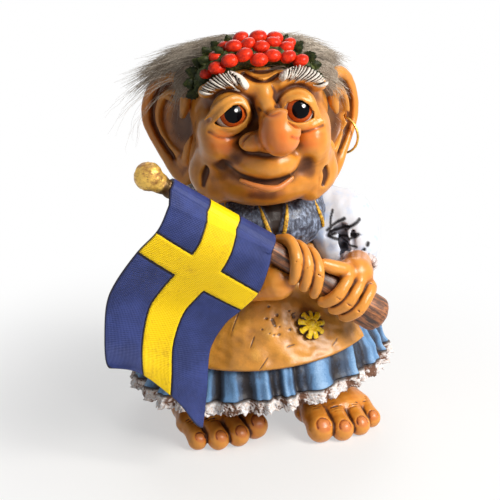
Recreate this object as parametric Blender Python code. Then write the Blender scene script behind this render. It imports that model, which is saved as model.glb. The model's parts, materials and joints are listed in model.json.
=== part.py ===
# Troll figurine holding a flag: one named object for each piece.
# Metres, +Z up, the figure looks along -Y, so its own right hand is at -X.
# Every sculpted piece is built from balls and limbs that are blended into one skin,
# and a piece that seats on another is cut by that neighbour grown by the named gap.

import math

import bpy
import bmesh
from mathutils import Euler, Matrix, Vector

# Driving dimensions

FIT = 0.0003                # gap between pieces that touch
WAIST_HEIGHT = 0.0860       # over the floor
TORSO_HEIGHT = 0.0240       # from the waist to the shoulders
HEAD_OVER_SHOULDERS = 0.0310    # head's centre
HEAD_HEIGHT = WAIST_HEIGHT + TORSO_HEIGHT + HEAD_OVER_SHOULDERS
HEAD_SIDE = -0.0015
HEAD_DEPTH = -0.002
HEAD_TURN = math.radians(-7)
HEAD_TILT = math.radians(-8)
HEAD_HALF_WIDTH = 0.031
SKULL_WIDTH = 0.0300        # half of it
SKULL_LENGTH = 0.0310       # half of it
SKULL_HEIGHT = 0.0245       # half of it

EYE_RADIUS = 0.0075
EYE_DEPTH = 0.0300          # eye centre in front of the head's centre
EYE_OPENING = (0.0065, 0.0070, 0.0047)

EAR_WIDTH_RIGHT = 0.0245
EAR_WIDTH_LEFT = 0.0213
EAR_ROOT = 0.0290           # ear root from the head's middle
EAR_FLARE_RIGHT = math.radians(41)
EAR_FLARE_LEFT = math.radians(49)
EAR_PLATE = 0.0026
EAR_RIM = 0.0025
EAR_SETBACK = 0.0010        # the plate lies this far behind the rim

RING_RADIUS = 0.0085        # earring, to the middle of its wire
WIRE_RADIUS = 0.0006
HOLE_RADIUS = 0.0011
HOLE_SHARE = 0.7465         # pierced hole from the ear's root, as a share of the ear's width
HOLE_OUT = EAR_WIDTH_LEFT * HOLE_SHARE
HOLE_DROP = 0.0028

HAIR_THICKNESS = 0.0042
BERRY_RADIUS = 0.0031
WREATH_RADIUS = 0.0042

HEM_RADIUS = 0.0570         # skirt hem, sideways
HEM_DEPTH_SHARE = 0.93      # the skirt is a little flatter front to back
HEM_HEIGHT = 0.0275
HEM_TILT_LEFT = math.radians(5.71)
HEM_TILT_FRONT = math.radians(4.00)
PLEATS = 24
PLEAT_DEPTH = 0.0019
PLEAT_REACH = 0.75          # share of the way up at which the pleats run out
FRILL_DROP = 0.0062         # petticoat, under the skirt's hem
FRILL_TUCK = 0.0002
FRILL_FLARE = 0.0012
FRILL_WAVES = 30
FRILL_RUFFLE = 0.0018
APRON_THICKNESS = 0.0016
APRON_HEM = 0.0125          # apron's lower edge over the skirt's hem
APRON_RIGHT = math.radians(-47)
APRON_LEFT = math.radians(47)
FLOWER_RADIUS = 0.0064
FLOWER_THICKNESS = 0.0030
FLOWER_PETALS = 9

SPIGOT_RADIUS = 0.0090      # under the bodice, into the skirt
SPIGOT_LENGTH = 0.0110
NECK_RADIUS = 0.0105
NECK_LENGTH = 0.0140
EDGING_RADIUS = 0.0012

ARMS_FORWARD = HEM_RADIUS / 2   # the arms reach round the skirt, so their frame follows it
STAFF_TIP = Vector((-0.0552, -0.0215, 0.0464))      # in the arms' frame
STAFF_BUTT = Vector((0.0420, -0.0165, -0.0246))
STAFF_TIP_RADIUS = 0.0023
STAFF_BUTT_RADIUS = 0.0082
STAFF_SWELL = 1.5
FINIAL_RADIUS = 0.0071
FINIAL_SOCKET = 0.0050

FLAG_THICKNESS = 0.0018
FLAG_START = 0.0070         # along the staff from its tip
FLAG_END = 0.0585

LEG_RADIUS = 0.0118
LEG_TOP = 0.0500
FOOT_RIGHT = (-0.0310, -0.0020)
FOOT_LEFT = (0.0245, -0.0045)
FOOT_RIGHT_TURN = math.radians(18)
FOOT_LEFT_TURN = math.radians(10)

BALL_RINGS = 12
BALL_SEGMENTS = 18
LIMB_RINGS = 8
LIMB_SEGMENTS = 12
SHARP_ANGLE = math.radians(40)
MERGE = 0.000002            # points nearer than this are one point
BLOCK = 0.2                 # side of a cutting block, larger than the figure


# Scene, helpers and modelling tools

def clear_scene():
    for item in list(bpy.data.objects):
        bpy.data.objects.remove(item, do_unlink=True)


def paint(name, colour, roughness, metallic=0.0):
    """Principled material with the piece's own colour."""
    material = bpy.data.materials.new(name)
    material.use_nodes = True
    shader = material.node_tree.nodes["Principled BSDF"]
    shader.inputs["Base Color"].default_value = (*colour, 1.0)
    shader.inputs["Roughness"].default_value = roughness
    shader.inputs["Metallic"].default_value = metallic
    material.diffuse_color = (*colour, 1.0)
    return material


def empty(name, parent=None, place=(0, 0, 0), turn=(0, 0, 0)):
    item = bpy.data.objects.new(name, None)
    bpy.context.collection.objects.link(item)
    item.parent = parent
    item.location = place
    item.rotation_euler = turn
    return item


def piece(name, mesh, material, parent, place=(0, 0, 0), turn=(0, 0, 0)):
    """One named object for one physical piece."""
    item = bpy.data.objects.new(name, mesh)
    bpy.context.collection.objects.link(item)
    item.parent = parent
    item.location = place
    item.rotation_euler = turn
    mesh.materials.clear()
    mesh.materials.append(material)
    mesh.shade_smooth()
    mesh.set_sharp_from_angle(angle=SHARP_ANGLE)
    bpy.context.view_layer.update()
    return item


def evaluated_mesh(item):
    """The object's mesh with its modifiers applied."""
    bpy.context.view_layer.update()
    graph = bpy.context.evaluated_depsgraph_get()
    return bpy.data.meshes.new_from_object(item.evaluated_get(graph), depsgraph=graph)


def apply_modifiers(item):
    mesh = evaluated_mesh(item)
    item.modifiers.clear()
    old = item.data
    item.data = mesh
    if old.users == 0:
        bpy.data.meshes.remove(old)


def keep_largest_body(item):
    """Drops the crumbs that a cut can leave beside the piece."""
    bm = bmesh.new()
    bm.from_mesh(item.data)
    bmesh.ops.remove_doubles(bm, verts=bm.verts, dist=MERGE)
    unseen = set(bm.verts)
    bodies = []
    while unseen:
        reached = [unseen.pop()]
        for vert in reached:
            for edge in vert.link_edges:
                other = edge.other_vert(vert)
                if other in unseen:
                    unseen.remove(other)
                    reached.append(other)
        bodies.append(reached)
    bodies.sort(key=len)
    crumbs = [vert for body in bodies[:-1] for vert in body]
    bmesh.ops.delete(bm, geom=crumbs, context="VERTS")
    bm.to_mesh(item.data)
    bm.free()


def is_closed(mesh):
    bm = bmesh.new()
    bm.from_mesh(mesh)
    closed = len(bm.faces) > 3 and all(edge.is_manifold for edge in bm.edges)
    bm.free()
    return closed


# Ways to cut, in the order in which they are tried: solver, and whether faces may cross
GROWTH = 1.3                # corners of a faceted skin grow less than its faces
CUTS = (("EXACT", False), ("MANIFOLD", False), ("EXACT", True))


def cut(item, *neighbours, gap=FIT):
    """Cuts item by each neighbour grown by the gap, so that they seat in each other.

    Skins with few triangles can have faces that cross in a tight fold, which one way of
    cutting minds and another doesn't, so the first way that leaves a closed body is kept."""
    for neighbour in neighbours:
        cutter = bpy.data.objects.new("cutter", neighbour.data)
        bpy.context.collection.objects.link(cutter)
        cutter.matrix_world = neighbour.matrix_world
        cutter.hide_render = True
        cutter.display_type = "WIRE"
        if gap:
            grow = cutter.modifiers.new("gap", "DISPLACE")
            grow.strength = gap * GROWTH
            grow.mid_level = 0.0
        whole = item.data
        for solver, crossed in CUTS:
            item.data = whole.copy()
            carve = item.modifiers.new("seat", "BOOLEAN")
            carve.operation = "DIFFERENCE"
            carve.object = cutter
            carve.solver = solver
            carve.use_self = crossed
            apply_modifiers(item)
            keep_largest_body(item)
            if is_closed(item.data):
                break
        bpy.data.objects.remove(cutter, do_unlink=True)


def smooth_path(points, steps):
    """Points along a Catmull-Rom curve through the given ones."""
    points = [Vector(p) for p in points]
    before = points[0] * 2 - points[1]
    after = points[-1] * 2 - points[-2]
    chain = [before, *points, after]
    path = []
    for a, b, c, d in zip(chain, chain[1:], chain[2:], chain[3:]):
        for step in range(steps):
            t = step / steps
            path.append(0.5 * (2 * b + (c - a) * t + (2 * a - 5 * b + 4 * c - d) * t ** 2
                               + (3 * b - a - 3 * c + d) * t ** 3))
    path.append(points[-1])
    return path


def add_ball(bm, centre, radii, turn=(0, 0, 0), segments=BALL_SEGMENTS, rings=BALL_RINGS):
    """Adds an ellipsoid, turned about its own centre."""
    radii = (radii,) * 3 if isinstance(radii, float) else radii
    size = Matrix.Diagonal((*radii, 1.0))
    spin = Euler(turn).to_matrix().to_4x4()
    bmesh.ops.create_uvsphere(bm, u_segments=segments, v_segments=rings, radius=1.0,
                              matrix=Matrix.Translation(centre) @ spin @ size)


def add_limb(bm, points, radii, steps=5):
    """Adds a row of balls along a smooth line, as thick as radii says at each point."""
    marked = [Vector((*p, 0.0)) for p in points]
    for mark, radius in zip(marked, radii):
        mark[3] = radius
    for spot in smooth_path(marked, steps):
        add_ball(bm, spot[:3], float(spot[3]), segments=LIMB_SEGMENTS, rings=LIMB_RINGS)


def add_cylinder(bm, centre, radius, length, segments, turn=Matrix.Identity(4)):
    bmesh.ops.create_cone(bm, cap_ends=True, segments=segments, radius1=radius, radius2=radius,
                          depth=length, matrix=Matrix.Translation(centre) @ turn)


def circle(count):
    """Angles once round."""
    return [2 * math.pi * i / count for i in range(count)]


def finished(bm, name):
    mesh = bpy.data.meshes.new(name)
    bm.to_mesh(mesh)
    bm.free()
    return mesh


def blended(bm, name, grain, smoothing, triangles, one_body=True):
    """Blends the overlapping shapes into one skin with about so many triangles."""
    helper = bpy.data.objects.new("blend", finished(bm, name))
    bpy.context.collection.objects.link(helper)
    skin = helper.modifiers.new("skin", "REMESH")
    skin.mode = "VOXEL"
    skin.voxel_size = grain
    soft = helper.modifiers.new("soft", "SMOOTH")
    soft.factor = 0.5
    soft.iterations = smoothing
    apply_modifiers(helper)
    helper.data.calc_loop_triangles()
    fewer = helper.modifiers.new("fewer", "DECIMATE")
    fewer.ratio = min(1.0, triangles / len(helper.data.loop_triangles))
    apply_modifiers(helper)
    if one_body:
        keep_largest_body(helper)
    mesh = helper.data
    bpy.data.objects.remove(helper, do_unlink=True)
    return mesh


def loft(name, rows, closed_rows=True):
    """Closed body through rows of points: walls between rows, and a cap at each end."""
    bm = bmesh.new()
    rings = [[bm.verts.new(p) for p in row] for row in rows]
    count = len(rings[0])
    for low, high in zip(rings, rings[1:]):
        for i in range(count if closed_rows else count - 1):
            j = (i + 1) % count
            bm.faces.new((low[i], low[j], high[j], high[i]))
    bm.faces.new(rings[0][::-1])
    bm.faces.new(rings[-1])
    bmesh.ops.recalc_face_normals(bm, faces=bm.faces)
    return finished(bm, name)


def sheet(name, grid, thickness_of):
    """Closed plate: the grid's points are one face and thickness_of moves them to the other."""
    bm = bmesh.new()
    front = [[bm.verts.new(p) for p in row] for row in grid]
    back = [[bm.verts.new(thickness_of(r, c, p)) for c, p in enumerate(row)]
            for r, row in enumerate(grid)]
    last_row = len(grid) - 1
    last_column = len(grid[0]) - 1
    for r in range(last_row):
        for c in range(last_column):
            bm.faces.new((front[r][c], front[r][c + 1], front[r + 1][c + 1], front[r + 1][c]))
            bm.faces.new((back[r + 1][c], back[r + 1][c + 1], back[r][c + 1], back[r][c]))
    for r in range(last_row):
        for c in (0, last_column):
            bm.faces.new((front[r][c], front[r + 1][c], back[r + 1][c], back[r][c]))
    for c in range(last_column):
        for r in (0, last_row):
            bm.faces.new((front[r][c], front[r][c + 1], back[r][c + 1], back[r][c]))
    bmesh.ops.recalc_face_normals(bm, faces=bm.faces)
    return finished(bm, name)


def tube(name, points, radius):
    """Round strip along a line, as a curve with a bevel made into a mesh."""
    curve = bpy.data.curves.new(name, "CURVE")
    curve.dimensions = "3D"
    curve.bevel_depth = radius
    curve.bevel_resolution = 1
    curve.use_fill_caps = True
    spline = curve.splines.new("POLY")
    spline.points.add(len(points) - 1)
    for point, place in zip(spline.points, points):
        point.co = (*place, 1.0)
    helper = bpy.data.objects.new(name, curve)
    bpy.context.collection.objects.link(helper)
    mesh = evaluated_mesh(helper)
    bpy.data.objects.remove(helper, do_unlink=True)
    bm = bmesh.new()
    bm.from_mesh(mesh)
    bmesh.ops.remove_doubles(bm, verts=bm.verts, dist=MERGE)
    bmesh.ops.recalc_face_normals(bm, faces=bm.faces)
    bm.to_mesh(mesh)
    bm.free()
    return mesh


# Head and face, in the head's own frame: centre of the head at its origin

EYE_RIGHT = (-0.0142, -EYE_DEPTH, 0.0062)
EYE_LEFT = (0.0128, -EYE_DEPTH, 0.0074)
LID = 0.0018
JAW_CORNER = 0.0115

FACE_BALLS = {
    "skull": ((0, 0.002, 0.004), (SKULL_WIDTH, SKULL_LENGTH, SKULL_HEIGHT)),
    "forehead": ((0, -0.012, 0.013), (0.0255, 0.0195, 0.0130)),
    "temples": ((0, -0.010, 0.002), (0.0285, 0.0220, 0.0150)),
    "jaw": ((0, -0.002, -0.014), (0.0305, 0.0300, 0.0195)),
    "jaw corner right": ((JAW_CORNER - HEAD_HALF_WIDTH, -0.014, -0.019), (JAW_CORNER, 0.0130, 0.0125)),
    "jaw corner left": ((HEAD_HALF_WIDTH - JAW_CORNER, -0.014, -0.020), (JAW_CORNER, 0.0130, 0.0125)),
    "chin": ((-0.001, -0.025, -0.0245), (0.0160, 0.0095, 0.0090)),
    "muzzle": ((0, -0.030, -0.0135), (0.0175, 0.0115, 0.0085)),
    "cheek right": ((-0.0165, -0.027, -0.006), (0.0095, 0.0090, 0.0070)),
    "cheek left": ((0.0175, -0.027, -0.006), (0.0095, 0.0090, 0.0070)),
    "nose": ((0.0040, -0.0475, 0.0000), (0.0086, 0.0092, 0.0099)),
    "nose base": ((0.0020, -0.0400, -0.0055), (0.0095, 0.0080, 0.0050)),
    "wing right": ((-0.0060, -0.0385, -0.0055), (0.0050, 0.0055, 0.0042)),
    "wing left": ((0.0105, -0.0405, -0.0065), (0.0046, 0.0055, 0.0040)),
    "lids right": (EYE_RIGHT, (EYE_RADIUS + LID,) * 3),
    "lids left": (EYE_LEFT, (EYE_RADIUS + LID,) * 3),
}

FACE_LIMBS = {
    "brow right": (((-0.0085, -0.0335, 0.0165), (-0.0160, -0.0325, 0.0205), (-0.0255, -0.0260, 0.0140)),
                   (0.0024, 0.0032, 0.0024)),
    "brow left": (((0.0062, -0.0335, 0.0190), (0.0145, -0.0325, 0.0230), (0.0245, -0.0260, 0.0150)),
                  (0.0024, 0.0032, 0.0024)),
    "nose root": (((0.0000, -0.0310, 0.0110), (0.0020, -0.0390, 0.0060)), (0.0050, 0.0065)),
    "lower lip": (((-0.0120, -0.0330, -0.0185), (-0.0005, -0.0375, -0.0230), (0.0100, -0.0345, -0.0215)),
                  (0.0022, 0.0028, 0.0022)),
}

FACE_HOLLOWS = {
    "mouth": (((-0.0180, -0.0345, -0.0145), (-0.0085, -0.0405, -0.0180), (0.0005, -0.0425, -0.0203),
               (0.0090, -0.0400, -0.0198), (0.0160, -0.0350, -0.0165)), (0.0014,) * 5),
    "dimple right": (((-0.0185, -0.0340, -0.0150), (-0.0190, -0.0350, -0.0130)), (0.0026, 0.0026)),
    "dimple left": (((0.0170, -0.0340, -0.0175), (0.0180, -0.0350, -0.0140)), (0.0030, 0.0034)),
    "crease right": (((-0.0255, -0.0265, -0.0165), (-0.0250, -0.0265, -0.0235)), (0.0013, 0.0015)),
    "crease left": (((0.0255, -0.0265, -0.0175), (0.0260, -0.0260, -0.0245)), (0.0014, 0.0017)),
    "inner corner right": (((-0.0050, -0.0370, 0.0105), (-0.0065, -0.0370, 0.0060)), (0.0022, 0.0026)),
    "inner corner left": (((0.0055, -0.0385, 0.0125), (0.0068, -0.0390, 0.0095)), (0.0020, 0.0018)),
}

FACE_GRAIN = 0.0009
FACE_BLENDING = 24
FACE_TRIANGLES = 1500
CARVED_TRIANGLES = 16000    # while the head is being carved
CARVED_GRAIN = 0.0006
CARVED_BLENDING = 5
HOLLOW_GRAIN = 0.0005
HOLLOW_TRIANGLES = 4000


def build_head(head_frame, skin):
    bm = bmesh.new()
    for centre, radii in FACE_BALLS.values():
        add_ball(bm, centre, radii)
    for points, radii in FACE_LIMBS.values():
        add_limb(bm, points, radii)
    block = blended(bm, "head", FACE_GRAIN, FACE_BLENDING, CARVED_TRIANGLES)
    head = piece("head", block, skin, head_frame)
    hollows = bmesh.new()
    for points, radii in FACE_HOLLOWS.values():
        add_limb(hollows, points, radii)
    for eye in (EYE_RIGHT, EYE_LEFT):
        add_ball(hollows, (eye[0], eye[1] - EYE_RADIUS, eye[2]), EYE_OPENING)
    carver_mesh = blended(hollows, "hollows", HOLLOW_GRAIN, 1, HOLLOW_TRIANGLES, one_body=False)
    carver = piece("hollows", carver_mesh, skin, head_frame)
    cut(head, carver, gap=0)
    bpy.data.objects.remove(carver, do_unlink=True)
    bm = bmesh.new()
    bm.from_mesh(head.data)
    head.data = blended(bm, "head", CARVED_GRAIN, CARVED_BLENDING, FACE_TRIANGLES)
    head.data.materials.append(skin)
    head.data.shade_smooth()
    return head


EYE_SEGMENTS = 14
EYE_RINGS = 8


def build_eye(name, place, glass, head_frame):
    bm = bmesh.new()
    add_ball(bm, (0, 0, 0), EYE_RADIUS, (math.pi / 2, 0, 0), EYE_SEGMENTS, EYE_RINGS)
    return piece(name, finished(bm, name), glass, head_frame, place)


# Ears, in the ear's own frame: root at the origin, local X along the ear, -Y is its open side

EAR_OUTLINE = (
    (-0.0010, 0.0100), (0.0040, 0.0158), (0.0115, 0.0175), (0.0190, 0.0135), (0.0240, 0.0050),
    (0.0243, -0.0030), (0.0205, -0.0100), (0.0150, -0.0175), (0.0090, -0.0245), (0.0035, -0.0275),
    (-0.0010, -0.0235),
)
EAR_RIDGE = ((0.0075, 0.0080), (0.0130, 0.0085), (0.0170, 0.0030), (0.0165, -0.0060), (0.0105, -0.0150))
EAR_OUTLINE_WIDTH = 0.0245
EAR_RIDGE_RADIUS = 0.0014
EAR_RIM_FORWARD = 0.0005
EAR_RIDGE_SETBACK = 0.0010
EAR_BALLS = (
    # spot on the ear, setback, radii: bulge behind the bowl, lobe
    ((0.0070, -0.0040), 0.0035, (0.0090, 0.0030, 0.0150)),
    ((0.0050, -0.0215), 0.0002, (0.0050, 0.0030, 0.0055)),
)
EAR_ROOT_LINE = ((0.0000, 0.0090), (-0.0005, -0.0050), (0.0010, -0.0200))
EAR_ROOT_RADII = (0.0030, 0.0034, 0.0034)
EAR_GRAIN = 0.0007
EAR_BLENDING = 3
EAR_TRIANGLES = 440
DRILL_LENGTH = 0.030
DRILL_SEGMENTS = 16


def build_ear(name, side, width, flare, skin, head_frame):
    stretch = width / EAR_OUTLINE_WIDTH

    def on_ear(spot, setback):
        return (side * spot[0] * stretch, setback, spot[1])

    bm = bmesh.new()
    rim = [on_ear(p, -EAR_RIM_FORWARD) for p in EAR_OUTLINE]
    add_limb(bm, rim, [EAR_RIM] * len(rim))
    ridge = [on_ear(p, EAR_RIDGE_SETBACK) for p in EAR_RIDGE]
    add_limb(bm, ridge, [EAR_RIDGE_RADIUS] * len(ridge))
    edge = smooth_path([(*p, 0) for p in EAR_OUTLINE], 3)
    plate = [[on_ear(p, y) for p in edge] for y in (EAR_SETBACK, EAR_SETBACK + EAR_PLATE)]
    slab = loft("plate", plate)
    bm.from_mesh(slab)
    bpy.data.meshes.remove(slab)
    for spot, setback, (width_radius, *other_radii) in EAR_BALLS:
        add_ball(bm, on_ear(spot, setback), (width_radius * stretch, *other_radii))
    add_limb(bm, [on_ear(p, 0.0) for p in EAR_ROOT_LINE], EAR_ROOT_RADII)
    mesh = blended(bm, name, EAR_GRAIN, EAR_BLENDING, EAR_TRIANGLES)
    return piece(name, mesh, skin, head_frame, (side * EAR_ROOT, 0, 0), (0, 0, side * flare))


def pierce(ear, head_frame):
    """Round hole through the ear, along the ear's own Y."""
    bm = bmesh.new()
    across = Matrix.Rotation(math.pi / 2, 4, "X")
    add_cylinder(bm, (HOLE_OUT, 0, -HOLE_DROP), HOLE_RADIUS, DRILL_LENGTH, DRILL_SEGMENTS, across)
    drill = piece("drill", finished(bm, "drill"), ear.data.materials[0], head_frame)
    drill.matrix_world = ear.matrix_world
    bpy.context.view_layer.update()
    cut(ear, drill, gap=0)
    bpy.data.objects.remove(drill, do_unlink=True)


RING_TURNS = 24
WIRE_SIDES = 6


def build_earring(ear, gold):
    """Hoop through the pierced hole; its origin is on the hole's axis."""
    bm = bmesh.new()
    top = Vector((0, 0, RING_RADIUS))
    rings = []
    for angle in circle(RING_TURNS):
        centre = Vector((0, RING_RADIUS * math.sin(angle), RING_RADIUS * math.cos(angle)))
        outward = centre.normalized()
        ring = []
        for turn in circle(WIRE_SIDES):
            sideways = Vector((math.sin(turn) * WIRE_RADIUS, 0, 0))
            ring.append(bm.verts.new(centre + outward * math.cos(turn) * WIRE_RADIUS + sideways - top))
        rings.append(ring)
    for ring, after in zip(rings, rings[1:] + rings[:1]):
        for k in range(WIRE_SIDES):
            j = (k + 1) % WIRE_SIDES
            bm.faces.new((ring[k], ring[j], after[j], after[k]))
    bmesh.ops.recalc_face_normals(bm, faces=bm.faces)
    hoop = piece("earring", finished(bm, "earring"), gold, ear,
                 (HOLE_OUT, EAR_SETBACK + EAR_PLATE / 2, -HOLE_DROP))
    down = ear.matrix_world.to_3x3().inverted() @ Vector((0, 0, -1))
    hoop.rotation_euler = (0, math.atan2(-down.x, -down.z), 0)
    bpy.context.view_layer.update()
    return hoop


# Hair, wreath of leaves and berries, in the head's frame

HAIR_LINE_FRONT = (0, -0.0240, 0.0215)
HAIR_LINE_BACK = (0, 0.0330, -0.0180)
HAIR_CENTRE = (0, 0.0035, 0.0035)
HAIR_RADII = (SKULL_WIDTH + HAIR_THICKNESS, SKULL_LENGTH + HAIR_THICKNESS, SKULL_HEIGHT + HAIR_THICKNESS)
HAIR_TUFTS = (
    # over the ears: place, radii, turn about Y
    ((-0.0260, 0.0000, 0.0130), (0.0120, 0.0130, 0.0090), math.radians(40)),
    ((0.0245, 0.0000, 0.0140), (0.0110, 0.0130, 0.0085), math.radians(-40)),
)
HAIR_GRAIN = 0.0012
HAIR_BLENDING = 3
HAIR_TRIANGLES = 440
SKULL_SEGMENTS = 28
SKULL_RINGS = 18


def build_fur_cap(fur, head_frame):
    """Cap of fur over the skull, from behind the wreath down to the nape."""
    bm = bmesh.new()
    add_ball(bm, HAIR_CENTRE, HAIR_RADII, segments=SKULL_SEGMENTS, rings=SKULL_RINGS)
    for place, radii, turn in HAIR_TUFTS:
        add_ball(bm, place, radii, (0, turn, 0))
    mesh = blended(bm, "fur_cap", HAIR_GRAIN, HAIR_BLENDING, HAIR_TRIANGLES)
    cap = piece("fur_cap", mesh, fur, head_frame)
    front = Vector(HAIR_LINE_FRONT)
    along = Vector(HAIR_LINE_BACK) - front
    slope = math.atan2(along.z, along.y)
    block = bmesh.new()
    bmesh.ops.create_cube(block, size=BLOCK)
    face = piece("below", finished(block, "below"), fur, head_frame)
    face.rotation_euler = (slope, 0, 0)
    face.location = front + Matrix.Rotation(slope, 3, "X") @ Vector((0, 0, -BLOCK / 2))
    bpy.context.view_layer.update()
    cut(cap, face, gap=0)
    bpy.data.objects.remove(face, do_unlink=True)
    return cap


BACK_HAIR = (
    # height over the head's centre, half width, half thickness, how far behind the head's centre
    (0.0120, 0.0150, 0.0030, 0.0360), (0.0040, 0.0260, 0.0050, 0.0365), (-0.0080, 0.0320, 0.0058, 0.0360),
    (-0.0210, 0.0335, 0.0060, 0.0345), (-0.0350, 0.0320, 0.0056, 0.0330), (-0.0480, 0.0270, 0.0044, 0.0325),
    (-0.0570, 0.0150, 0.0026, 0.0325),
)
BACK_HAIR_RADIUS = 0.0560   # of its bow round the back
BACK_HAIR_SIDES = 32
LOCKS = 5
LOCK_SHARE = 0.30           # of the hair's thickness


def build_fur_back(fur, figure):
    """Long fur in a few locks that hangs down behind the head and the shoulders."""
    rows = []
    for height, half_width, half_thickness, depth in BACK_HAIR:
        ring = []
        for angle in circle(BACK_HAIR_SIDES):
            across = half_width * math.cos(angle)
            bow = across * across / (2 * BACK_HAIR_RADIUS)
            lock = 1 + LOCK_SHARE * math.cos(LOCKS * math.pi * across / half_width)
            ring.append((across, depth - bow + half_thickness * lock * math.sin(angle), height))
        rows.append(ring)
    return piece("fur_back", loft("fur_back", rows), fur, figure, (HEAD_SIDE, HEAD_DEPTH, HEAD_HEIGHT))


WREATH_LINE = (
    (-0.0275, -0.0150, 0.0160), (-0.0235, -0.0185, 0.0205), (-0.0160, -0.0200, 0.0250),
    (-0.0020, -0.0175, 0.0275), (0.0110, -0.0195, 0.0260), (0.0195, -0.0200, 0.0225),
)
WREATH_PAD_SHARE = 0.80     # of the wreath's width
WREATH_PADS = (
    # rows of padding behind the line: how far back, how far up
    (0.0050, 0.0034), (0.0100, 0.0024),
)
WREATH_PAD_RADIUS = 0.0036
LEAVES = (
    # place, half length, turn about Y
    ((-0.0285, -0.0165, 0.0175), 0.0042, 30), ((-0.0255, -0.0200, 0.0210), 0.0044, 40),
    ((-0.0240, -0.0165, 0.0255), 0.0044, 50), ((-0.0195, -0.0130, 0.0292), 0.0046, 60),
    ((-0.0135, -0.0100, 0.0315), 0.0046, 75), ((-0.0055, -0.0070, 0.0330), 0.0048, 95),
    ((0.0045, -0.0070, 0.0325), 0.0048, 105), ((0.0110, -0.0085, 0.0312), 0.0044, 120),
    ((0.0180, -0.0140, 0.0280), 0.0044, 135), ((0.0205, -0.0190, 0.0235), 0.0042, 150),
)
LEAF_LEAN = math.radians(-35)
LEAF_WIDTH = 0.0032
LEAF_THICKNESS = 0.0019
WREATH_GRAIN = 0.0006
WREATH_BLENDING = 3
WREATH_TRIANGLES = 560


def build_wreath(leaf_green, head_frame):
    bm = bmesh.new()
    add_limb(bm, WREATH_LINE, [WREATH_RADIUS] * len(WREATH_LINE))
    for back, up in WREATH_PADS:
        line = [(x * WREATH_PAD_SHARE, y + back, z + up) for x, y, z in WREATH_LINE[1:]]
        add_limb(bm, line, [WREATH_PAD_RADIUS] * len(line))
    for place, half_length, turn in LEAVES:
        add_ball(bm, place, (half_length, LEAF_THICKNESS, LEAF_WIDTH), (LEAF_LEAN, math.radians(turn), 0))
    mesh = blended(bm, "leaf_wreath", WREATH_GRAIN, WREATH_BLENDING, WREATH_TRIANGLES)
    return piece("leaf_wreath", mesh, leaf_green, head_frame)


BERRY_SPOTS = (
    (-0.0190, -0.0255, 0.0244), (-0.0140, -0.0268, 0.0280), (-0.0079, -0.0262, 0.0291),
    (-0.0021, -0.0268, 0.0273), (0.0033, -0.0262, 0.0288), (0.0099, -0.0265, 0.0283),
    (0.0152, -0.0262, 0.0269), (-0.0232, -0.0215, 0.0225), (-0.0185, -0.0205, 0.0282),
    (-0.0114, -0.0205, 0.0320), (-0.0056, -0.0190, 0.0332), (-0.0010, -0.0205, 0.0312),
    (0.0036, -0.0185, 0.0332), (0.0069, -0.0210, 0.0305), (0.0110, -0.0175, 0.0312),
    (-0.0078, -0.0125, 0.0345), (-0.0010, -0.0125, 0.0343), (0.0066, -0.0125, 0.0335),
)


BERRY_SHAPE = (1.0, 0.95, 0.92)
BERRY_SEGMENTS = 8
BERRY_RINGS = 5


def build_berries(red, head_frame):
    """Each berry is as large as its neighbours leave room for."""
    berries = []
    for number, spot in enumerate(BERRY_SPOTS, start=1):
        others = [Vector(other) for other in BERRY_SPOTS if other != spot]
        room = min((other - Vector(spot)).length for other in others) / 2 - FIT / 2
        radius = min(BERRY_RADIUS, room)
        bm = bmesh.new()
        radii = [radius * share for share in BERRY_SHAPE]
        add_ball(bm, (0, 0, 0), radii, segments=BERRY_SEGMENTS, rings=BERRY_RINGS)
        name = f"berry_{number:02d}"
        berries.append(piece(name, finished(bm, name), red, head_frame, spot))
    return berries


# Bodice with its neck stub and spigot, in the torso's frame: the middle of the waist at its origin

BODICE_DEPTH = -0.003
BODICE_PROFILE = (
    # share of the torso's height, half width, half depth
    (0.17, 0.0265, 0.0240), (0.33, 0.0290, 0.0265), (0.67, 0.0285, 0.0260), (0.92, 0.0240, 0.0215),
    (1.00, 0.0170, 0.0160),
)
BODICE_FOOT = (0.0240, 0.0215)      # half width and half depth where it stands on the skirt
COLLAR_RISE = 0.0010
OPENING_TOP_WIDTH = 0.0095
OPENING_SHARE = 0.29        # the opening's lower end, as a share of the torso's height
OPENING_RECESS = 0.0025
OPENING_REACH = 0.0600
BODICE_SIDES = 24


def bodice_front(x, share):
    """Y of the bodice's front skin at a share of its height, a little to the side."""
    for (low, low_half, low_deep), (high, high_half, high_deep) in zip(BODICE_PROFILE, BODICE_PROFILE[1:]):
        if low <= share <= high:
            part = (share - low) / (high - low)
            half = low_half + (high_half - low_half) * part
            deep = low_deep + (high_deep - low_deep) * part
            return BODICE_DEPTH - deep * math.sqrt(max(0.0, 1 - (x / half) ** 2))
    return BODICE_DEPTH - BODICE_FOOT[1]


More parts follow.
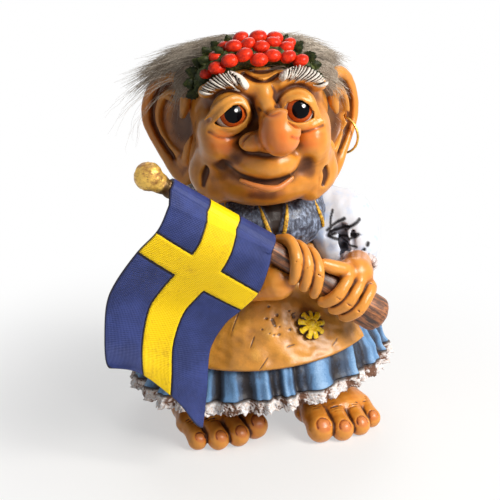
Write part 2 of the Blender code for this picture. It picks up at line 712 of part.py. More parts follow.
def build_bodice(cloth, torso):
    sizes = [
        (FIT - SPIGOT_LENGTH, SPIGOT_RADIUS, SPIGOT_RADIUS),
        (FIT, SPIGOT_RADIUS, SPIGOT_RADIUS),
        (FIT, *BODICE_FOOT),
        *[(TORSO_HEIGHT * share, half, deep) for share, half, deep in BODICE_PROFILE],
        (TORSO_HEIGHT + COLLAR_RISE, NECK_RADIUS, NECK_RADIUS),
        (TORSO_HEIGHT + NECK_LENGTH, NECK_RADIUS, NECK_RADIUS),
    ]
    rows = []
    for height, half, deep in sizes:
        rows.append([(half * math.cos(a), BODICE_DEPTH + deep * math.sin(a), height)
                     for a in circle(BODICE_SIDES)])
    body = piece("bodice", loft("bodice", rows), cloth, torso)
    deepest = max(deep for _, _, deep in BODICE_PROFILE)
    half_opening = OPENING_TOP_WIDTH / 2
    wedge_rows = []
    for y in (-OPENING_REACH, BODICE_DEPTH - deepest + OPENING_RECESS):
        wedge_rows.append([(-half_opening, y, TORSO_HEIGHT), (0, y, TORSO_HEIGHT * OPENING_SHARE),
                           (half_opening, y, TORSO_HEIGHT)])
    wedge = piece("opening", loft("opening", wedge_rows), cloth, torso)
    cut(body, wedge, gap=0)
    bpy.data.objects.remove(wedge, do_unlink=True)
    return body


EDGING_LINES = {
    # sideways, share of the torso's height
    "front_edging_right": ((-0.0062, 0.90), (-0.0040, 0.62), (-0.0016, 0.29)),
    "front_edging_left": ((0.0062, 0.90), (0.0042, 0.62), (0.0026, 0.29)),
    "armhole_edging_right": ((-0.0195, 0.90), (-0.0215, 0.62), (-0.0240, 0.33)),
    "armhole_edging_left": ((0.0195, 0.90), (0.0215, 0.62), (0.0240, 0.33)),
}
EDGING_SINK = 0.0004        # the strip's middle line over the bodice's skin


def build_edgings(yellow, torso, bodice):
    strips = []
    for name, line in EDGING_LINES.items():
        line = [(x, bodice_front(x, share) - EDGING_SINK, TORSO_HEIGHT * share) for x, share in line]
        strip = piece(name, tube(name, smooth_path(line, 2), EDGING_RADIUS), yellow, torso)
        cut(strip, bodice)
        strips.append(strip)
    return strips


# Sleeves, cuffs and hands, in the arms' frame: at the waist's height, in front of it

SLEEVE_LEFT = (((0.0290, 0.0235, 0.0120), (0.0370, 0.0195, 0.0060), (0.0405, 0.0125, -0.0025)),
               (0.0100, 0.0128, 0.0098))
SLEEVE_RIGHT = (((-0.0290, 0.0235, 0.0115), (-0.0345, 0.0125, 0.0040), (-0.0240, -0.0025, -0.0065)),
                (0.0100, 0.0118, 0.0090))
SLEEVE_GRAIN = 0.0012
SLEEVE_TRIANGLES = 220
WRIST_LEFT = Vector((0.0390, 0.0060, -0.0085))
WRIST_RIGHT = Vector((-0.0170, -0.0095, -0.0095))
CUFF_LEFT_AXIS = Vector((-0.28, -0.72, -0.64))
CUFF_RIGHT_AXIS = Vector((0.78, -0.60, 0.05))
CUFF_RADIUS = 0.0086
CUFF_LENGTH = 0.0034
CUFF_BEVEL = 0.0009
CUFF_SEGMENTS = 16
CORNER_ANGLE = math.radians(57)


def build_sleeve(name, line, cloth, arms):
    bm = bmesh.new()
    add_limb(bm, *line)
    return piece(name, blended(bm, name, SLEEVE_GRAIN, 3, SLEEVE_TRIANGLES), cloth, arms)


def build_cuff(name, place, axis, cloth, arms):
    """Turned band round the wrist, bevelled."""
    bm = bmesh.new()
    add_cylinder(bm, (0, 0, 0), CUFF_RADIUS, CUFF_LENGTH, CUFF_SEGMENTS)
    corners = [edge for edge in bm.edges if edge.calc_face_angle(0) > CORNER_ANGLE]
    bmesh.ops.bevel(bm, geom=corners, offset=CUFF_BEVEL, segments=1, affect="EDGES")
    item = piece(name, finished(bm, name), cloth, arms, place)
    item.rotation_euler = axis.to_track_quat("Z", "Y").to_euler()
    bpy.context.view_layer.update()
    return item


def staff_axis():
    return (STAFF_BUTT - STAFF_TIP).normalized()


def staff_radius(along):
    """The staff swells from its tip to its butt."""
    length = (STAFF_BUTT - STAFF_TIP).length
    share = min(1.0, max(0.0, along / length))
    return STAFF_TIP_RADIUS + (STAFF_BUTT_RADIUS - STAFF_TIP_RADIUS) * share ** STAFF_SWELL


def round_staff(along, angle, radius):
    """Point beside the staff: angle 0 is above it, 90 in front, 180 below."""
    axis = staff_axis()
    above = (Vector((0, 0, 1)) - axis * axis.z).normalized()
    front = axis.cross(above)
    turn = math.radians(angle)
    return STAFF_TIP + axis * along + (above * math.cos(turn) + front * math.sin(turn)) * radius


HAND_GRAIN = 0.0006
HAND_BLENDING = 2
HAND_TRIANGLES = 460
GRIP = 0.0026               # finger's middle line over the staff's skin
FINGER_RADII = (0.0032, 0.0031, 0.0030, 0.0028)

# Each finger and its turns: length along the staff, angle round it
RIGHT_FINGERS = (0.0655, 0.0717, 0.0781)
RIGHT_FINGER_TURNS = ((-0.0010, -25), (0.0, 20), (0.0045, 80), (0.0085, 140))
RIGHT_THUMB = ((0.0640, 215), (0.0645, 260), (0.0660, 300))
# Place beside the staff (along, angle, from its middle line) and radii
RIGHT_PALM = (0.0720, 190, 0.0105)
RIGHT_PALM_RADII = (0.0085, 0.0065, 0.0080)
RIGHT_HEEL = (0.0740, 240, 0.0085)
RIGHT_HEEL_RADII = (0.0085, 0.0050, 0.0075)
RIGHT_WRIST_SAG = Vector((0, -0.0005, -0.0005))
RIGHT_WRIST_RADII = (0.0075, 0.0062, 0.0058)
LEFT_FINGERS = (0.0970, 0.1033, 0.1096)
LEFT_FINGER_TURNS = ((0.0010, 15), (0.0005, 60), (0.0, 100), (0.0005, 145))
LEFT_FINGER_SHARE = 1.08    # the left fingers are a little thicker
LEFT_BACK = (0.1035, -5, 0.0125)
LEFT_BACK_RADII = (0.0095, 0.0075, 0.0075)
LEFT_WRIST_RADII = (0.0078, 0.0070, 0.0060)
LEFT_THUMB_ROOT = Vector((-0.0040, 0.0000, 0.0010))
LEFT_THUMB = ((0.0925, 15, 0.0036), (0.0850, 25, 0.0028))     # the last is over the staff's skin
LEFT_THUMB_RADII = (0.0048, 0.0034, 0.0028)


def add_finger(bm, turns, share=1.0):
    """Finger round the staff through its turns."""
    points = [round_staff(along, angle, staff_radius(along) + GRIP) for along, angle in turns]
    add_limb(bm, points, [radius * share for radius in FINGER_RADII])


def build_hand_right(skin, arms):
    bm = bmesh.new()
    for along in RIGHT_FINGERS:
        add_finger(bm, [(along + shift, angle) for shift, angle in RIGHT_FINGER_TURNS])
    palm = round_staff(*RIGHT_PALM)
    add_ball(bm, palm, RIGHT_PALM_RADII)
    add_ball(bm, round_staff(*RIGHT_HEEL), RIGHT_HEEL_RADII)
    add_finger(bm, RIGHT_THUMB)
    middle = (palm + WRIST_RIGHT) / 2 + RIGHT_WRIST_SAG
    add_limb(bm, (palm, middle, WRIST_RIGHT), RIGHT_WRIST_RADII)
    mesh = blended(bm, "hand_right", HAND_GRAIN, HAND_BLENDING, HAND_TRIANGLES)
    return piece("hand_right", mesh, skin, arms)


def build_hand_left(skin, arms):
    bm = bmesh.new()
    for along in LEFT_FINGERS:
        add_finger(bm, [(along + shift, angle) for shift, angle in LEFT_FINGER_TURNS], LEFT_FINGER_SHARE)
    back = round_staff(*LEFT_BACK)
    add_ball(bm, back, LEFT_BACK_RADII)
    add_limb(bm, (back, (back + WRIST_LEFT) / 2, WRIST_LEFT), LEFT_WRIST_RADII)
    thumb = [round_staff(along, angle, staff_radius(along) + over) for along, angle, over in LEFT_THUMB]
    add_limb(bm, (back + LEFT_THUMB_ROOT, *thumb), LEFT_THUMB_RADII)
    mesh = blended(bm, "hand_left", HAND_GRAIN, HAND_BLENDING, HAND_TRIANGLES)
    return piece("hand_left", mesh, skin, arms)


# Staff, finial ball and flag, in the arms' frame

STAFF_STATIONS = 18
STAFF_SIDES = 12
KNOTS = ((0.025, 23.0, 0.0), (0.020, 41.0, 1.0))    # size, how many, start
KNOT_REACH = 1.05           # no knot reaches further out than this
BUTT_ROUNDING = ((0.86, 0.0012), (0.55, 0.0018))    # share of the butt's radius, past the end
FINIAL_NECK_RADIUS = 0.0036
FINIAL_NECK_LENGTH = 0.0040
FINIAL_SEGMENTS = 20
FINIAL_RINGS = 12
FINIAL_GRAIN = 0.0005
FINIAL_TRIANGLES = 280


def build_staff(wood, arms):
    """Turned and slightly knotted staff along its own Z, from its tip to its butt."""
    length = (STAFF_BUTT - STAFF_TIP).length
    sizes = []
    for k in range(STAFF_STATIONS + 1):
        share = k / STAFF_STATIONS
        knots = 1 + sum(size * math.sin(share * count + start) for size, count, start in KNOTS)
        sizes.append((staff_radius(share * length) * knots, share * length))
    sizes += [(STAFF_BUTT_RADIUS * share, length + past) for share, past in BUTT_ROUNDING]
    rows = [[(radius * math.cos(a), radius * math.sin(a), z) for a in circle(STAFF_SIDES)]
            for radius, z in sizes]
    staff = piece("staff", loft("staff", rows), wood, arms, STAFF_TIP)
    staff.rotation_euler = staff_axis().to_track_quat("Z", "Y").to_euler()
    bpy.context.view_layer.update()
    return staff


def build_finial(gold, arms):
    """Ball on a short neck, with a socket for the staff's tip."""
    axis = staff_axis()
    bm = bmesh.new()
    add_ball(bm, (0, 0, 0), FINIAL_RADIUS, segments=FINIAL_SEGMENTS, rings=FINIAL_RINGS)
    add_cylinder(bm, (0, 0, FINIAL_RADIUS), FINIAL_NECK_RADIUS, FINIAL_NECK_LENGTH, FINIAL_SEGMENTS)
    mesh = blended(bm, "finial_ball", FINIAL_GRAIN, 1, FINIAL_TRIANGLES)
    ball = piece("finial_ball", mesh, gold, arms, STAFF_TIP - axis * (FINIAL_RADIUS - FINIAL_SOCKET))
    ball.rotation_euler = axis.to_track_quat("Z", "Y").to_euler()
    bpy.context.view_layer.update()
    return ball


FLAG_EDGE_NEAR_TIP = (
    (-0.0500, -0.0305, 0.0385), (-0.0551, -0.0305, 0.0277), (-0.0633, -0.0285, 0.0181),
    (-0.0719, -0.0245, 0.0042),
    (-0.0758, -0.0220, -0.0065), (-0.0772, -0.0220, -0.0217), (-0.0771, -0.0245, -0.0313),
    (-0.0752, -0.0260, -0.0345),
)
FLAG_EDGE_NEAR_HAND = (
    (-0.0082, -0.0315, 0.0155), (-0.0098, -0.0315, 0.0078), (-0.0133, -0.0290, -0.0037),
    (-0.0205, -0.0260, -0.0125), (-0.0268, -0.0240, -0.0189), (-0.0327, -0.0230, -0.0300),
    (-0.0345, -0.0240, -0.0452), (-0.0369, -0.0260, -0.0585),
)
FLAG_COLUMNS = 9
FLAG_WRAP_ANGLES = (-130, -100, -70, -40, -10, 20, 50, 80)
FLAG_WRAP_STEP = math.radians(30)
FLAG_SAG = 0.0016
FLAG_FOLDS = 3


def wrap_radius(along):
    """Inner radius of the flag where it wraps the staff in flat steps."""
    return (staff_radius(along) * KNOT_REACH + FIT) / math.cos(FLAG_WRAP_STEP / 2)


def flag_station(column):
    """Length along the staff at a column of the flag."""
    return FLAG_START + (FLAG_END - FLAG_START) * column / FLAG_COLUMNS


def build_flag(blue, arms):
    """Cast flag: it wraps the staff from behind, over the top, and hangs in stiff folds."""
    near_tip = smooth_path(FLAG_EDGE_NEAR_TIP, 2)
    near_hand = smooth_path(FLAG_EDGE_NEAR_HAND, 2)
    stations = [flag_station(c) for c in range(FLAG_COLUMNS + 1)]
    grid = []
    for angle in FLAG_WRAP_ANGLES:
        grid.append([round_staff(along, angle, wrap_radius(along) + FLAG_THICKNESS) for along in stations])
    for k, (a, b) in enumerate(zip(near_tip, near_hand)):
        fold = math.sin(k / len(near_tip) * FLAG_FOLDS * math.pi)
        row = []
        for c in range(FLAG_COLUMNS + 1):
            share = c / FLAG_COLUMNS
            sag = FLAG_SAG * fold * math.sin(share * math.pi)
            row.append(a.lerp(b, share) + Vector((0, -sag, 0)))
        grid.append(row)

    def back_face(r, c, p):
        if r < len(FLAG_WRAP_ANGLES):
            return round_staff(stations[c], FLAG_WRAP_ANGLES[r], wrap_radius(stations[c]))
        across = grid[r][min(c + 1, FLAG_COLUMNS)] - grid[r][max(c - 1, 0)]
        down = grid[min(r + 1, len(grid) - 1)][c] - grid[r - 1][c]
        return p + across.cross(down).normalized() * FLAG_THICKNESS

    return piece("flag", sheet("flag", grid, back_face), blue, arms)


# Skirt, apron, flower and frill

SKIRT_PROFILE = (
    # share of the way from hem to waist, share of the hem's radius
    (0.00, 1.00), (0.12, 0.965), (0.30, 0.88), (0.50, 0.765), (0.70, 0.62), (0.88, 0.49), (1.00, 0.425),
)


def skirt_share(rise):
    """Share of the hem's radius at a share of the way up."""
    for (low, low_share), (high, high_share) in zip(SKIRT_PROFILE, SKIRT_PROFILE[1:]):
        if rise <= high:
            return low_share + (high_share - low_share) * (rise - low) / (high - low)
    return SKIRT_PROFILE[-1][1]


def skirt_point(angle, rise, offset=0.0, drop=0.0):
    """Point on the smooth skirt: angle 0 is its front, rise goes from hem to waist."""
    radius = HEM_RADIUS * skirt_share(rise) + offset
    x = radius * math.sin(angle)
    y = -radius * math.cos(angle) * HEM_DEPTH_SHARE
    tilt = (math.tan(HEM_TILT_LEFT) * x - math.tan(HEM_TILT_FRONT) * y) * (1 - rise)
    z = HEM_HEIGHT + (WAIST_HEIGHT - HEM_HEIGHT) * rise + tilt - drop
    return Vector((x, y, z))


PLEAT_WANDER = ((0.045, 5, 1.0), (0.030, 11, 0.0))      # size in radians, how many, start
PLEAT_POINTS = 3            # round the skirt, for each pleat


def pleat_left(rise):
    """Share of a pleat's depth that is left at a share of the way up."""
    return max(0.0, 1 - rise / PLEAT_REACH)


def pleat(angle, rise):
    """Uneven pleats, deepest at the hem, that run out towards the waist."""
    wandered = angle + sum(size * math.sin(count * angle + start) for size, count, start in PLEAT_WANDER)
    return PLEAT_DEPTH * pleat_left(rise) * math.sin(PLEATS * wandered)


def build_skirt(cloth, figure):
    """Bell with pleats; its underside is flat and tilts with the hem."""
    angles = circle(PLEATS * PLEAT_POINTS)
    rows = [[skirt_point(a, rise, pleat(a, rise)) for a in angles] for rise, _ in SKIRT_PROFILE]
    return piece("skirt", loft("skirt", rows), cloth, figure)


def build_frill(lace, figure):
    """Petticoat under the skirt: a slab with a ruffled edge."""
    top = []
    bottom = []
    for angle in circle(PLEATS * PLEAT_POINTS):
        ruffle = FRILL_RUFFLE * math.sin(FRILL_WAVES * angle)
        top.append(skirt_point(angle, 0, pleat(angle, 0) - FRILL_TUCK, FIT))
        bottom.append(skirt_point(angle, 0, pleat(angle, 0) + FRILL_FLARE + ruffle, FRILL_DROP))
    return piece("hem_frill", loft("hem_frill", (bottom, top)), lace, figure)


APRON_COLUMNS = 12
APRON_LEVELS = 7
APRON_CLEARANCE = 0.0006    # over the pleats' crests
APRON_SWEEP = 0.03          # its lower edge rises by this share of the way up towards its sides


def apron_floor(angle):
    """Share of the way up where the apron ends."""
    return APRON_HEM / (WAIST_HEIGHT - HEM_HEIGHT) + APRON_SWEEP * (angle / APRON_LEFT) ** 2


def build_apron(cloth, figure):
    """Plate that follows the skirt from over its hem to the waist, clear of the pleats."""
    grid = []
    for r in range(APRON_LEVELS + 1):
        row = []
        for c in range(APRON_COLUMNS + 1):
            angle = APRON_RIGHT + (APRON_LEFT - APRON_RIGHT) * c / APRON_COLUMNS
            low = apron_floor(angle)
            row.append((angle, low + (1.0 - low) * r / APRON_LEVELS))
        grid.append(row)
    outer = []
    inner = []
    for row in grid:
        lifts = [APRON_CLEARANCE + PLEAT_DEPTH * pleat_left(rise) for _, rise in row]
        inner.append([skirt_point(a, rise, lift) for (a, rise), lift in zip(row, lifts)])
        outer.append([skirt_point(a, rise, lift + APRON_THICKNESS) for (a, rise), lift in zip(row, lifts)])
    return piece("apron", sheet("apron", outer, lambda r, c, p: inner[r][c]), cloth, figure)


FLOWER_ANGLE = math.radians(15.5)
FLOWER_RISE = 0.50
FLOWER_SINK = 0.15          # share of its thickness between the apron's skin and its own middle
FLOWER_STEP = 0.05          # angle and share of the way up over which the apron's slope is taken
FLOWER_ROWS = ((0.0, 1.0), (0.7, 1.0), (1.0, 0.80))     # share of the thickness, share of the radius
PETAL_NOTCH = 0.26          # share of the radius
PETAL_ROUNDING = 0.5
PETAL_POINTS = 6


def build_flower(yellow, figure):
    """Carved flower seated on the apron."""
    lift = APRON_CLEARANCE + PLEAT_DEPTH * pleat_left(FLOWER_RISE) + APRON_THICKNESS
    over = lift + FLOWER_THICKNESS * FLOWER_SINK
    centre = skirt_point(FLOWER_ANGLE, FLOWER_RISE, over)
    above = skirt_point(FLOWER_ANGLE, FLOWER_RISE + FLOWER_STEP)
    below = skirt_point(FLOWER_ANGLE, FLOWER_RISE - FLOWER_STEP)
    left = skirt_point(FLOWER_ANGLE + FLOWER_STEP, FLOWER_RISE)
    right = skirt_point(FLOWER_ANGLE - FLOWER_STEP, FLOWER_RISE)
    outward = (left - right).cross(above - below).normalized()
    rows = []
    for depth, shrink in FLOWER_ROWS:
        row = []
        for angle in circle(FLOWER_PETALS * PETAL_POINTS):
            petal = abs(math.cos(FLOWER_PETALS * angle / 2)) ** PETAL_ROUNDING
            radius = FLOWER_RADIUS * shrink * (1 - PETAL_NOTCH + PETAL_NOTCH * petal)
            row.append((radius * math.cos(angle), radius * math.sin(angle), FLOWER_THICKNESS * (depth - 0.5)))
        rows.append(row)
    flower = piece("apron_flower", loft("apron_flower", rows), yellow, figure, centre)
    flower.rotation_euler = outward.to_track_quat("Z", "Y").to_euler()
    bpy.context.view_layer.update()
    return flower


# Feet, each in its own frame: ankle over the origin, toes along -Y, big toe on the inner side

TOES = (
    # outward, forward, radius
    (-0.0118, 0.0335, 0.0060), (-0.0020, 0.0360, 0.0051), (0.0072, 0.0345, 0.0048), (0.0152, 0.0300, 0.0043),
)
SOLE_CUT = 0.0006           # soles are ground flat by this much
FOOT_BALLS = (
    # sideways, forward, height, radii: heel, arch, ball of the foot
    (0.0000, -0.0060, 0.0090, (0.0120, 0.0130, 0.0100)),
    (0.0010, 0.0100, 0.0085, (0.0150, 0.0180, 0.0095)),
    (0.0010, 0.0190, 0.0070, (0.0185, 0.0110, 0.0075)),
)
KNUCKLE_BACK = 0.0100       # behind the toe's tip
KNUCKLE_RISE = 0.0022
TOE_ROOT_BACK = 0.0190
TOE_ROOT_RISE = 0.0040
TOE_SPREAD = (1.0, 0.95, 0.80)      # tip, knuckle and root, as shares of the tip's place sideways
TOE_SHARES = (1.0, 0.92, 0.95)      # the same, as shares of the toe's radius
LEG_LINE = ((0, 0.0005, 0.0150), (0, 0.0005, 0.0300), (0, 0.0005, LEG_TOP - LEG_RADIUS * 0.8))
LEG_RADII = (LEG_RADIUS, LEG_RADIUS, LEG_RADIUS * 0.8)
FOOT_GRAIN = 0.0009
FOOT_BLENDING = 2
FOOT_TRIANGLES = 440


def build_foot(name, side, place, turn, skin, figure):
    bm = bmesh.new()
    for sideways, forward, height, radii in FOOT_BALLS:
        add_ball(bm, (side * sideways, -forward, height), radii)
    for outward, forward, radius in TOES:
        backs = (0.0, KNUCKLE_BACK, TOE_ROOT_BACK)
        rises = (0.0, KNUCKLE_RISE, TOE_ROOT_RISE)
        line = [(side * outward * spread, back - forward, radius + rise)
                for spread, back, rise in zip(TOE_SPREAD, backs, rises)]
        add_limb(bm, line, [radius * share for share in TOE_SHARES])
    add_limb(bm, LEG_LINE, LEG_RADII)
    mesh = blended(bm, name, FOOT_GRAIN, FOOT_BLENDING, FOOT_TRIANGLES)
    foot = piece(name, mesh, skin, figure, (*place, -SOLE_CUT), (0, 0, turn))
    ground = bmesh.new()
    bmesh.ops.create_cube(ground, size=BLOCK, matrix=Matrix.Translation((0, 0, -BLOCK / 2)))
    floor = piece("floor", finished(ground, "floor"), skin, figure)
    cut(foot, floor, gap=0)
    bpy.data.objects.remove(floor, do_unlink=True)
    return foot


def centre_on_base(figure):
    """Moves the whole figure so that the middle of its box's bottom is the origin."""
    bpy.context.view_layer.update()
    corners = [item.matrix_world @ vert.co for item in bpy.data.objects if item.type == "MESH"
               for vert in item.data.vertices]
    for axis in (0, 1):
        low = min(corner[axis] for corner in corners)
        high = max(corner[axis] for corner in corners)
        figure.location[axis] = -(low + high) / 2
    bpy.context.view_layer.update()


def build_figure():
    clear_scene()
    skin = paint("painted_skin", (0.56, 0.31, 0.10), 0.38)
    glass = paint("eye_glass", (0.05, 0.02, 0.01), 0.05)
    gold_wire = paint("gold_wire", (0.83, 0.60, 0.22), 0.25, 1.0)
    gold_paint = paint("gold_paint", (0.52, 0.35, 0.12), 0.35, 0.6)
    fur = paint("grey_fur", (0.42, 0.38, 0.33), 0.85)
    leaf_green = paint("leaf_green", (0.06, 0.09, 0.03), 0.55)
    berry_red = paint("berry_red", (0.62, 0.03, 0.02), 0.22)
    bodice_blue = paint("bodice_blue", (0.20, 0.26, 0.34), 0.50)
    edging_yellow = paint("edging_yellow", (0.72, 0.47, 0.08), 0.45)
    sleeve_white = paint("sleeve_white", (0.70, 0.76, 0.82), 0.60)
    wood = paint("staff_wood", (0.16, 0.08, 0.04), 0.42)
    flag_blue = paint("flag_blue", (0.08, 0.11, 0.32), 0.30)
    skirt_blue = paint("skirt_blue", (0.10, 0.27, 0.45), 0.45)
    apron_ochre = paint("apron_ochre", (0.60, 0.33, 0.06), 0.48)
    frill_white = paint("frill_white", (0.74, 0.68, 0.62), 0.70)

    figure = empty("figure")
    torso = empty("torso", figure, (0, 0, WAIST_HEIGHT))
    arms = empty("arms", figure, (0, -ARMS_FORWARD, WAIST_HEIGHT))
    head_place = (HEAD_SIDE, HEAD_DEPTH, HEAD_HEIGHT)
    head_frame = empty("head_frame", figure, head_place, (HEAD_TILT, 0, HEAD_TURN))

    head = build_head(head_frame, skin)
    eye_right = build_eye("eye_right", EYE_RIGHT, glass, head_frame)
    eye_left = build_eye("eye_left", EYE_LEFT, glass, head_frame)
    ear_right = build_ear("ear_right", -1, EAR_WIDTH_RIGHT, EAR_FLARE_RIGHT, skin, head_frame)
    ear_left = build_ear("ear_left", 1, EAR_WIDTH_LEFT, EAR_FLARE_LEFT, skin, head_frame)
    fur_cap = build_fur_cap(fur, head_frame)
    wreath = build_wreath(leaf_green, head_frame)
    berries = build_berries(berry_red, head_frame)
    fur_back = build_fur_back(fur, figure)
    bodice = build_bodice(bodice_blue, torso)

    cut(wreath, head)
    cut(fur_cap, head, ear_right, ear_left, wreath)
    for berry in berries:
        cut(berry, wreath)
    cut(head, eye_right, eye_left, ear_right, ear_left, bodice)
    cut(fur_back, fur_cap, ear_right, ear_left, bodice, head)
    pierce(ear_left, head_frame)
    build_earring(ear_left, gold_wire)

    edgings = build_edgings(edging_yellow, torso, bodice)
    for edging in edgings:
        cut(edging, head)

    staff = build_staff(wood, arms)
    finial = build_finial(gold_paint, arms)
    cut(finial, staff)
    flag = build_flag(flag_blue, arms)
    cut(flag, finial)
    skirt = build_skirt(skirt_blue, figure)
    frill = build_frill(frill_white, figure)
    apron = build_apron(apron_ochre, figure)
    flower = build_flower(edging_yellow, figure)
    cut(flower, apron)

    foot_right = build_foot("foot_right", -1, FOOT_RIGHT, FOOT_RIGHT_TURN, skin, figure)
    foot_left = build_foot("foot_left", 1, FOOT_LEFT, FOOT_LEFT_TURN, skin, figure)
    cut(skirt, bodice, foot_right, foot_left)
    cut(frill, foot_right, foot_left)

    hand_right = build_hand_right(skin, arms)
    hand_left = build_hand_left(skin, arms)
    cuff_right = build_cuff("cuff_right", WRIST_RIGHT, CUFF_RIGHT_AXIS, sleeve_white, arms)
    cuff_left = build_cuff("cuff_left", WRIST_LEFT, CUFF_LEFT_AXIS, sleeve_white, arms)
    sleeve_right = build_sleeve("sleeve_right", SLEEVE_RIGHT, sleeve_white, arms)
    sleeve_left = build_sleeve("sleeve_left", SLEEVE_LEFT, sleeve_white, arms)
    cut(hand_right, staff, flag, apron)
    cut(hand_left, staff, apron)
    for cuff, hand in ((cuff_right, hand_right), (cuff_left, hand_left)):
        cut(cuff, hand, apron)
    cut(sleeve_right, bodice, cuff_right, hand_right, apron, flag, fur_back, *edgings)
    cut(sleeve_left, bodice, cuff_left, hand_left, apron, fur_back, *edgings)
    centre_on_base(figure)


build_figure()
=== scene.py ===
"""Troll figurine with a flag: sculpts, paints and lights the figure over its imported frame."""

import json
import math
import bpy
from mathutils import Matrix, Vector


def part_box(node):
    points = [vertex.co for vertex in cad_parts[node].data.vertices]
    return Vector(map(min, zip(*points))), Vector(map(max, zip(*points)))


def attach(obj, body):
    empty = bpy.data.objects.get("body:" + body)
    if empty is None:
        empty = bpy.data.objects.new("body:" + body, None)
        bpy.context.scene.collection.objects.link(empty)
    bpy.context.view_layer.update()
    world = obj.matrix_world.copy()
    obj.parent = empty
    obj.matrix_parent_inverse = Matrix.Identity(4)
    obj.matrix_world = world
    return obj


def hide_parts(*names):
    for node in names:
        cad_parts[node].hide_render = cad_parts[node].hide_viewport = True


bl_info = {
    "name": "Troll Figurine",
    "version": (1, 0, 0),
    "blender": (4, 5, 0),
    "location": "3D View > Sidebar > Troll",
    "description": "Sculpts and paints a troll figurine that holds a flag",
    "category": "Object",
}

import bmesh
import bpy
import numpy as np
from bpy.props import FloatProperty, FloatVectorProperty, PointerProperty
from bpy.types import Operator, Panel, PropertyGroup
from mathutils import Matrix, Vector

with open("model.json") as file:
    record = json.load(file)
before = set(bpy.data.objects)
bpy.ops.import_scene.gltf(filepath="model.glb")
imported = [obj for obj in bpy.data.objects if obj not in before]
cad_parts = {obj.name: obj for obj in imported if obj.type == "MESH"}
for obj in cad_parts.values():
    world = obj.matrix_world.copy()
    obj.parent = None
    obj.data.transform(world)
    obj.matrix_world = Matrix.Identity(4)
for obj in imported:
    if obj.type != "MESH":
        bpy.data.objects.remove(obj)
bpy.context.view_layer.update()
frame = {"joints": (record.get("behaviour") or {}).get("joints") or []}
FIGURE = "figure"
SIDES = ("right", "left")
MM = 0.001
WAVE = 6.283            # a full turn, as the wandering values take it
CLOSE = 1e-9            # keeps a division away from 0


# Places. Shapes are worked out in millimetres, each in the frame of its own part of the body.

def turned(x=0.0, y=0.0, z=0.0):
    """4 x 4 turn about X, then Y, then Z, in degrees."""
    return (Matrix.Rotation(math.radians(z), 4, "Z") @ Matrix.Rotation(math.radians(y), 4, "Y")
            @ Matrix.Rotation(math.radians(x), 4, "X"))


HEAD_PLACE = Matrix.Translation((-1.5, -2.0, 141.0)) @ turned(z=-7) @ turned(x=-8)
EYES = {"right": Vector((-14.2, -30.0, 6.2)), "left": Vector((12.8, -30.0, 7.4))}
EYE_RADIUS = 7.5
EAR_ROOT = 29.0
EAR_FLARE = {"right": 41.0, "left": 49.0}
EAR_SIDE = {"right": -1, "left": 1}

STAFF_TIP = Vector((-55.2, -50.0, 132.4))
STAFF_BUTT = Vector((42.0, -45.0, 61.4))
STAFF_TIP_RADIUS = 2.3
STAFF_BUTT_RADIUS = 8.2


def frame_shift():
    """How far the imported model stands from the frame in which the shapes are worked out, in mm."""
    low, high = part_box("eye_right")
    return (Vector(low) + Vector(high)) / 2 / MM - HEAD_PLACE @ EYES["right"]


SHIFT = frame_shift()
FIGURE_PLACE = Matrix.Identity(4)


def ear_place(side):
    """Frame of one ear: X points out of the head along the ear."""
    return (HEAD_PLACE @ Matrix.Translation((EAR_SIDE[side] * EAR_ROOT, 0, 0))
            @ turned(z=EAR_SIDE[side] * EAR_FLARE[side]))


def staff_axis():
    return (STAFF_BUTT - STAFF_TIP).normalized()


def staff_radius(along):
    """The staff swells from its tip to its butt."""
    share = min(1.0, max(0.0, along / (STAFF_BUTT - STAFF_TIP).length))
    return STAFF_TIP_RADIUS + (STAFF_BUTT_RADIUS - STAFF_TIP_RADIUS) * share ** 1.5


def round_staff(along, angle, radius):
    """Point beside the staff: angle 0 is above it, 90 in front, 180 below."""
    axis = staff_axis()
    above = (Vector((0, 0, 1)) - axis * axis.z).normalized()
    front = axis.cross(above)
    turn = math.radians(angle)
    return STAFF_TIP + axis * along + (above * math.cos(turn) + front * math.sin(turn)) * radius


# Curves and noise

def smooth_path(points, steps):
    """Points along a Catmull-Rom curve through the given ones."""
    points = np.array([tuple(p) for p in points], float)
    chain = np.vstack([2 * points[0] - points[1], points, 2 * points[-1] - points[-2]])
    path = []
    for a, b, c, d in zip(chain, chain[1:], chain[2:], chain[3:]):
        for t in np.arange(steps) / steps:
            path.append(0.5 * (2 * b + (c - a) * t + (2 * a - 5 * b + 4 * c - d) * t ** 2
                               + (3 * b - a - 3 * c + d) * t ** 3))
    return np.array(path + [points[-1]])


def ripple(points, size, seed=0):
    """Smooth wandering value between about -1 and 1 at each point, with lumps of the given size."""
    random = np.random.RandomState(seed)
    total = np.zeros(len(points))
    for octave in range(5):
        direction = random.normal(size=(3, 3))
        direction /= np.linalg.norm(direction, axis=1)[:, None]
        phase = random.uniform(0, WAVE, 3)
        waves = np.sin(points @ direction.T * (WAVE / size) * (0.8 + 0.16 * octave) + phase)
        total += waves[:, 0] * waves[:, 1] + 0.5 * waves[:, 2]
    return total / 3.2


HOLLOW_RANGE = (-1, 1.5)


def step_up(value, low, high):
    """0 below low, 1 above high, and smooth between."""
    t = np.clip((value - low) / (high - low), 0, 1)
    return t * t * (3 - 2 * t)


def axes_round(axis):
    """Two directions square to an axis, beside it and over it."""
    beside = axis.cross(Vector((0, 0, 1))).normalized()
    return beside, beside.cross(axis)


# Modelling clay: signed distances on a grid

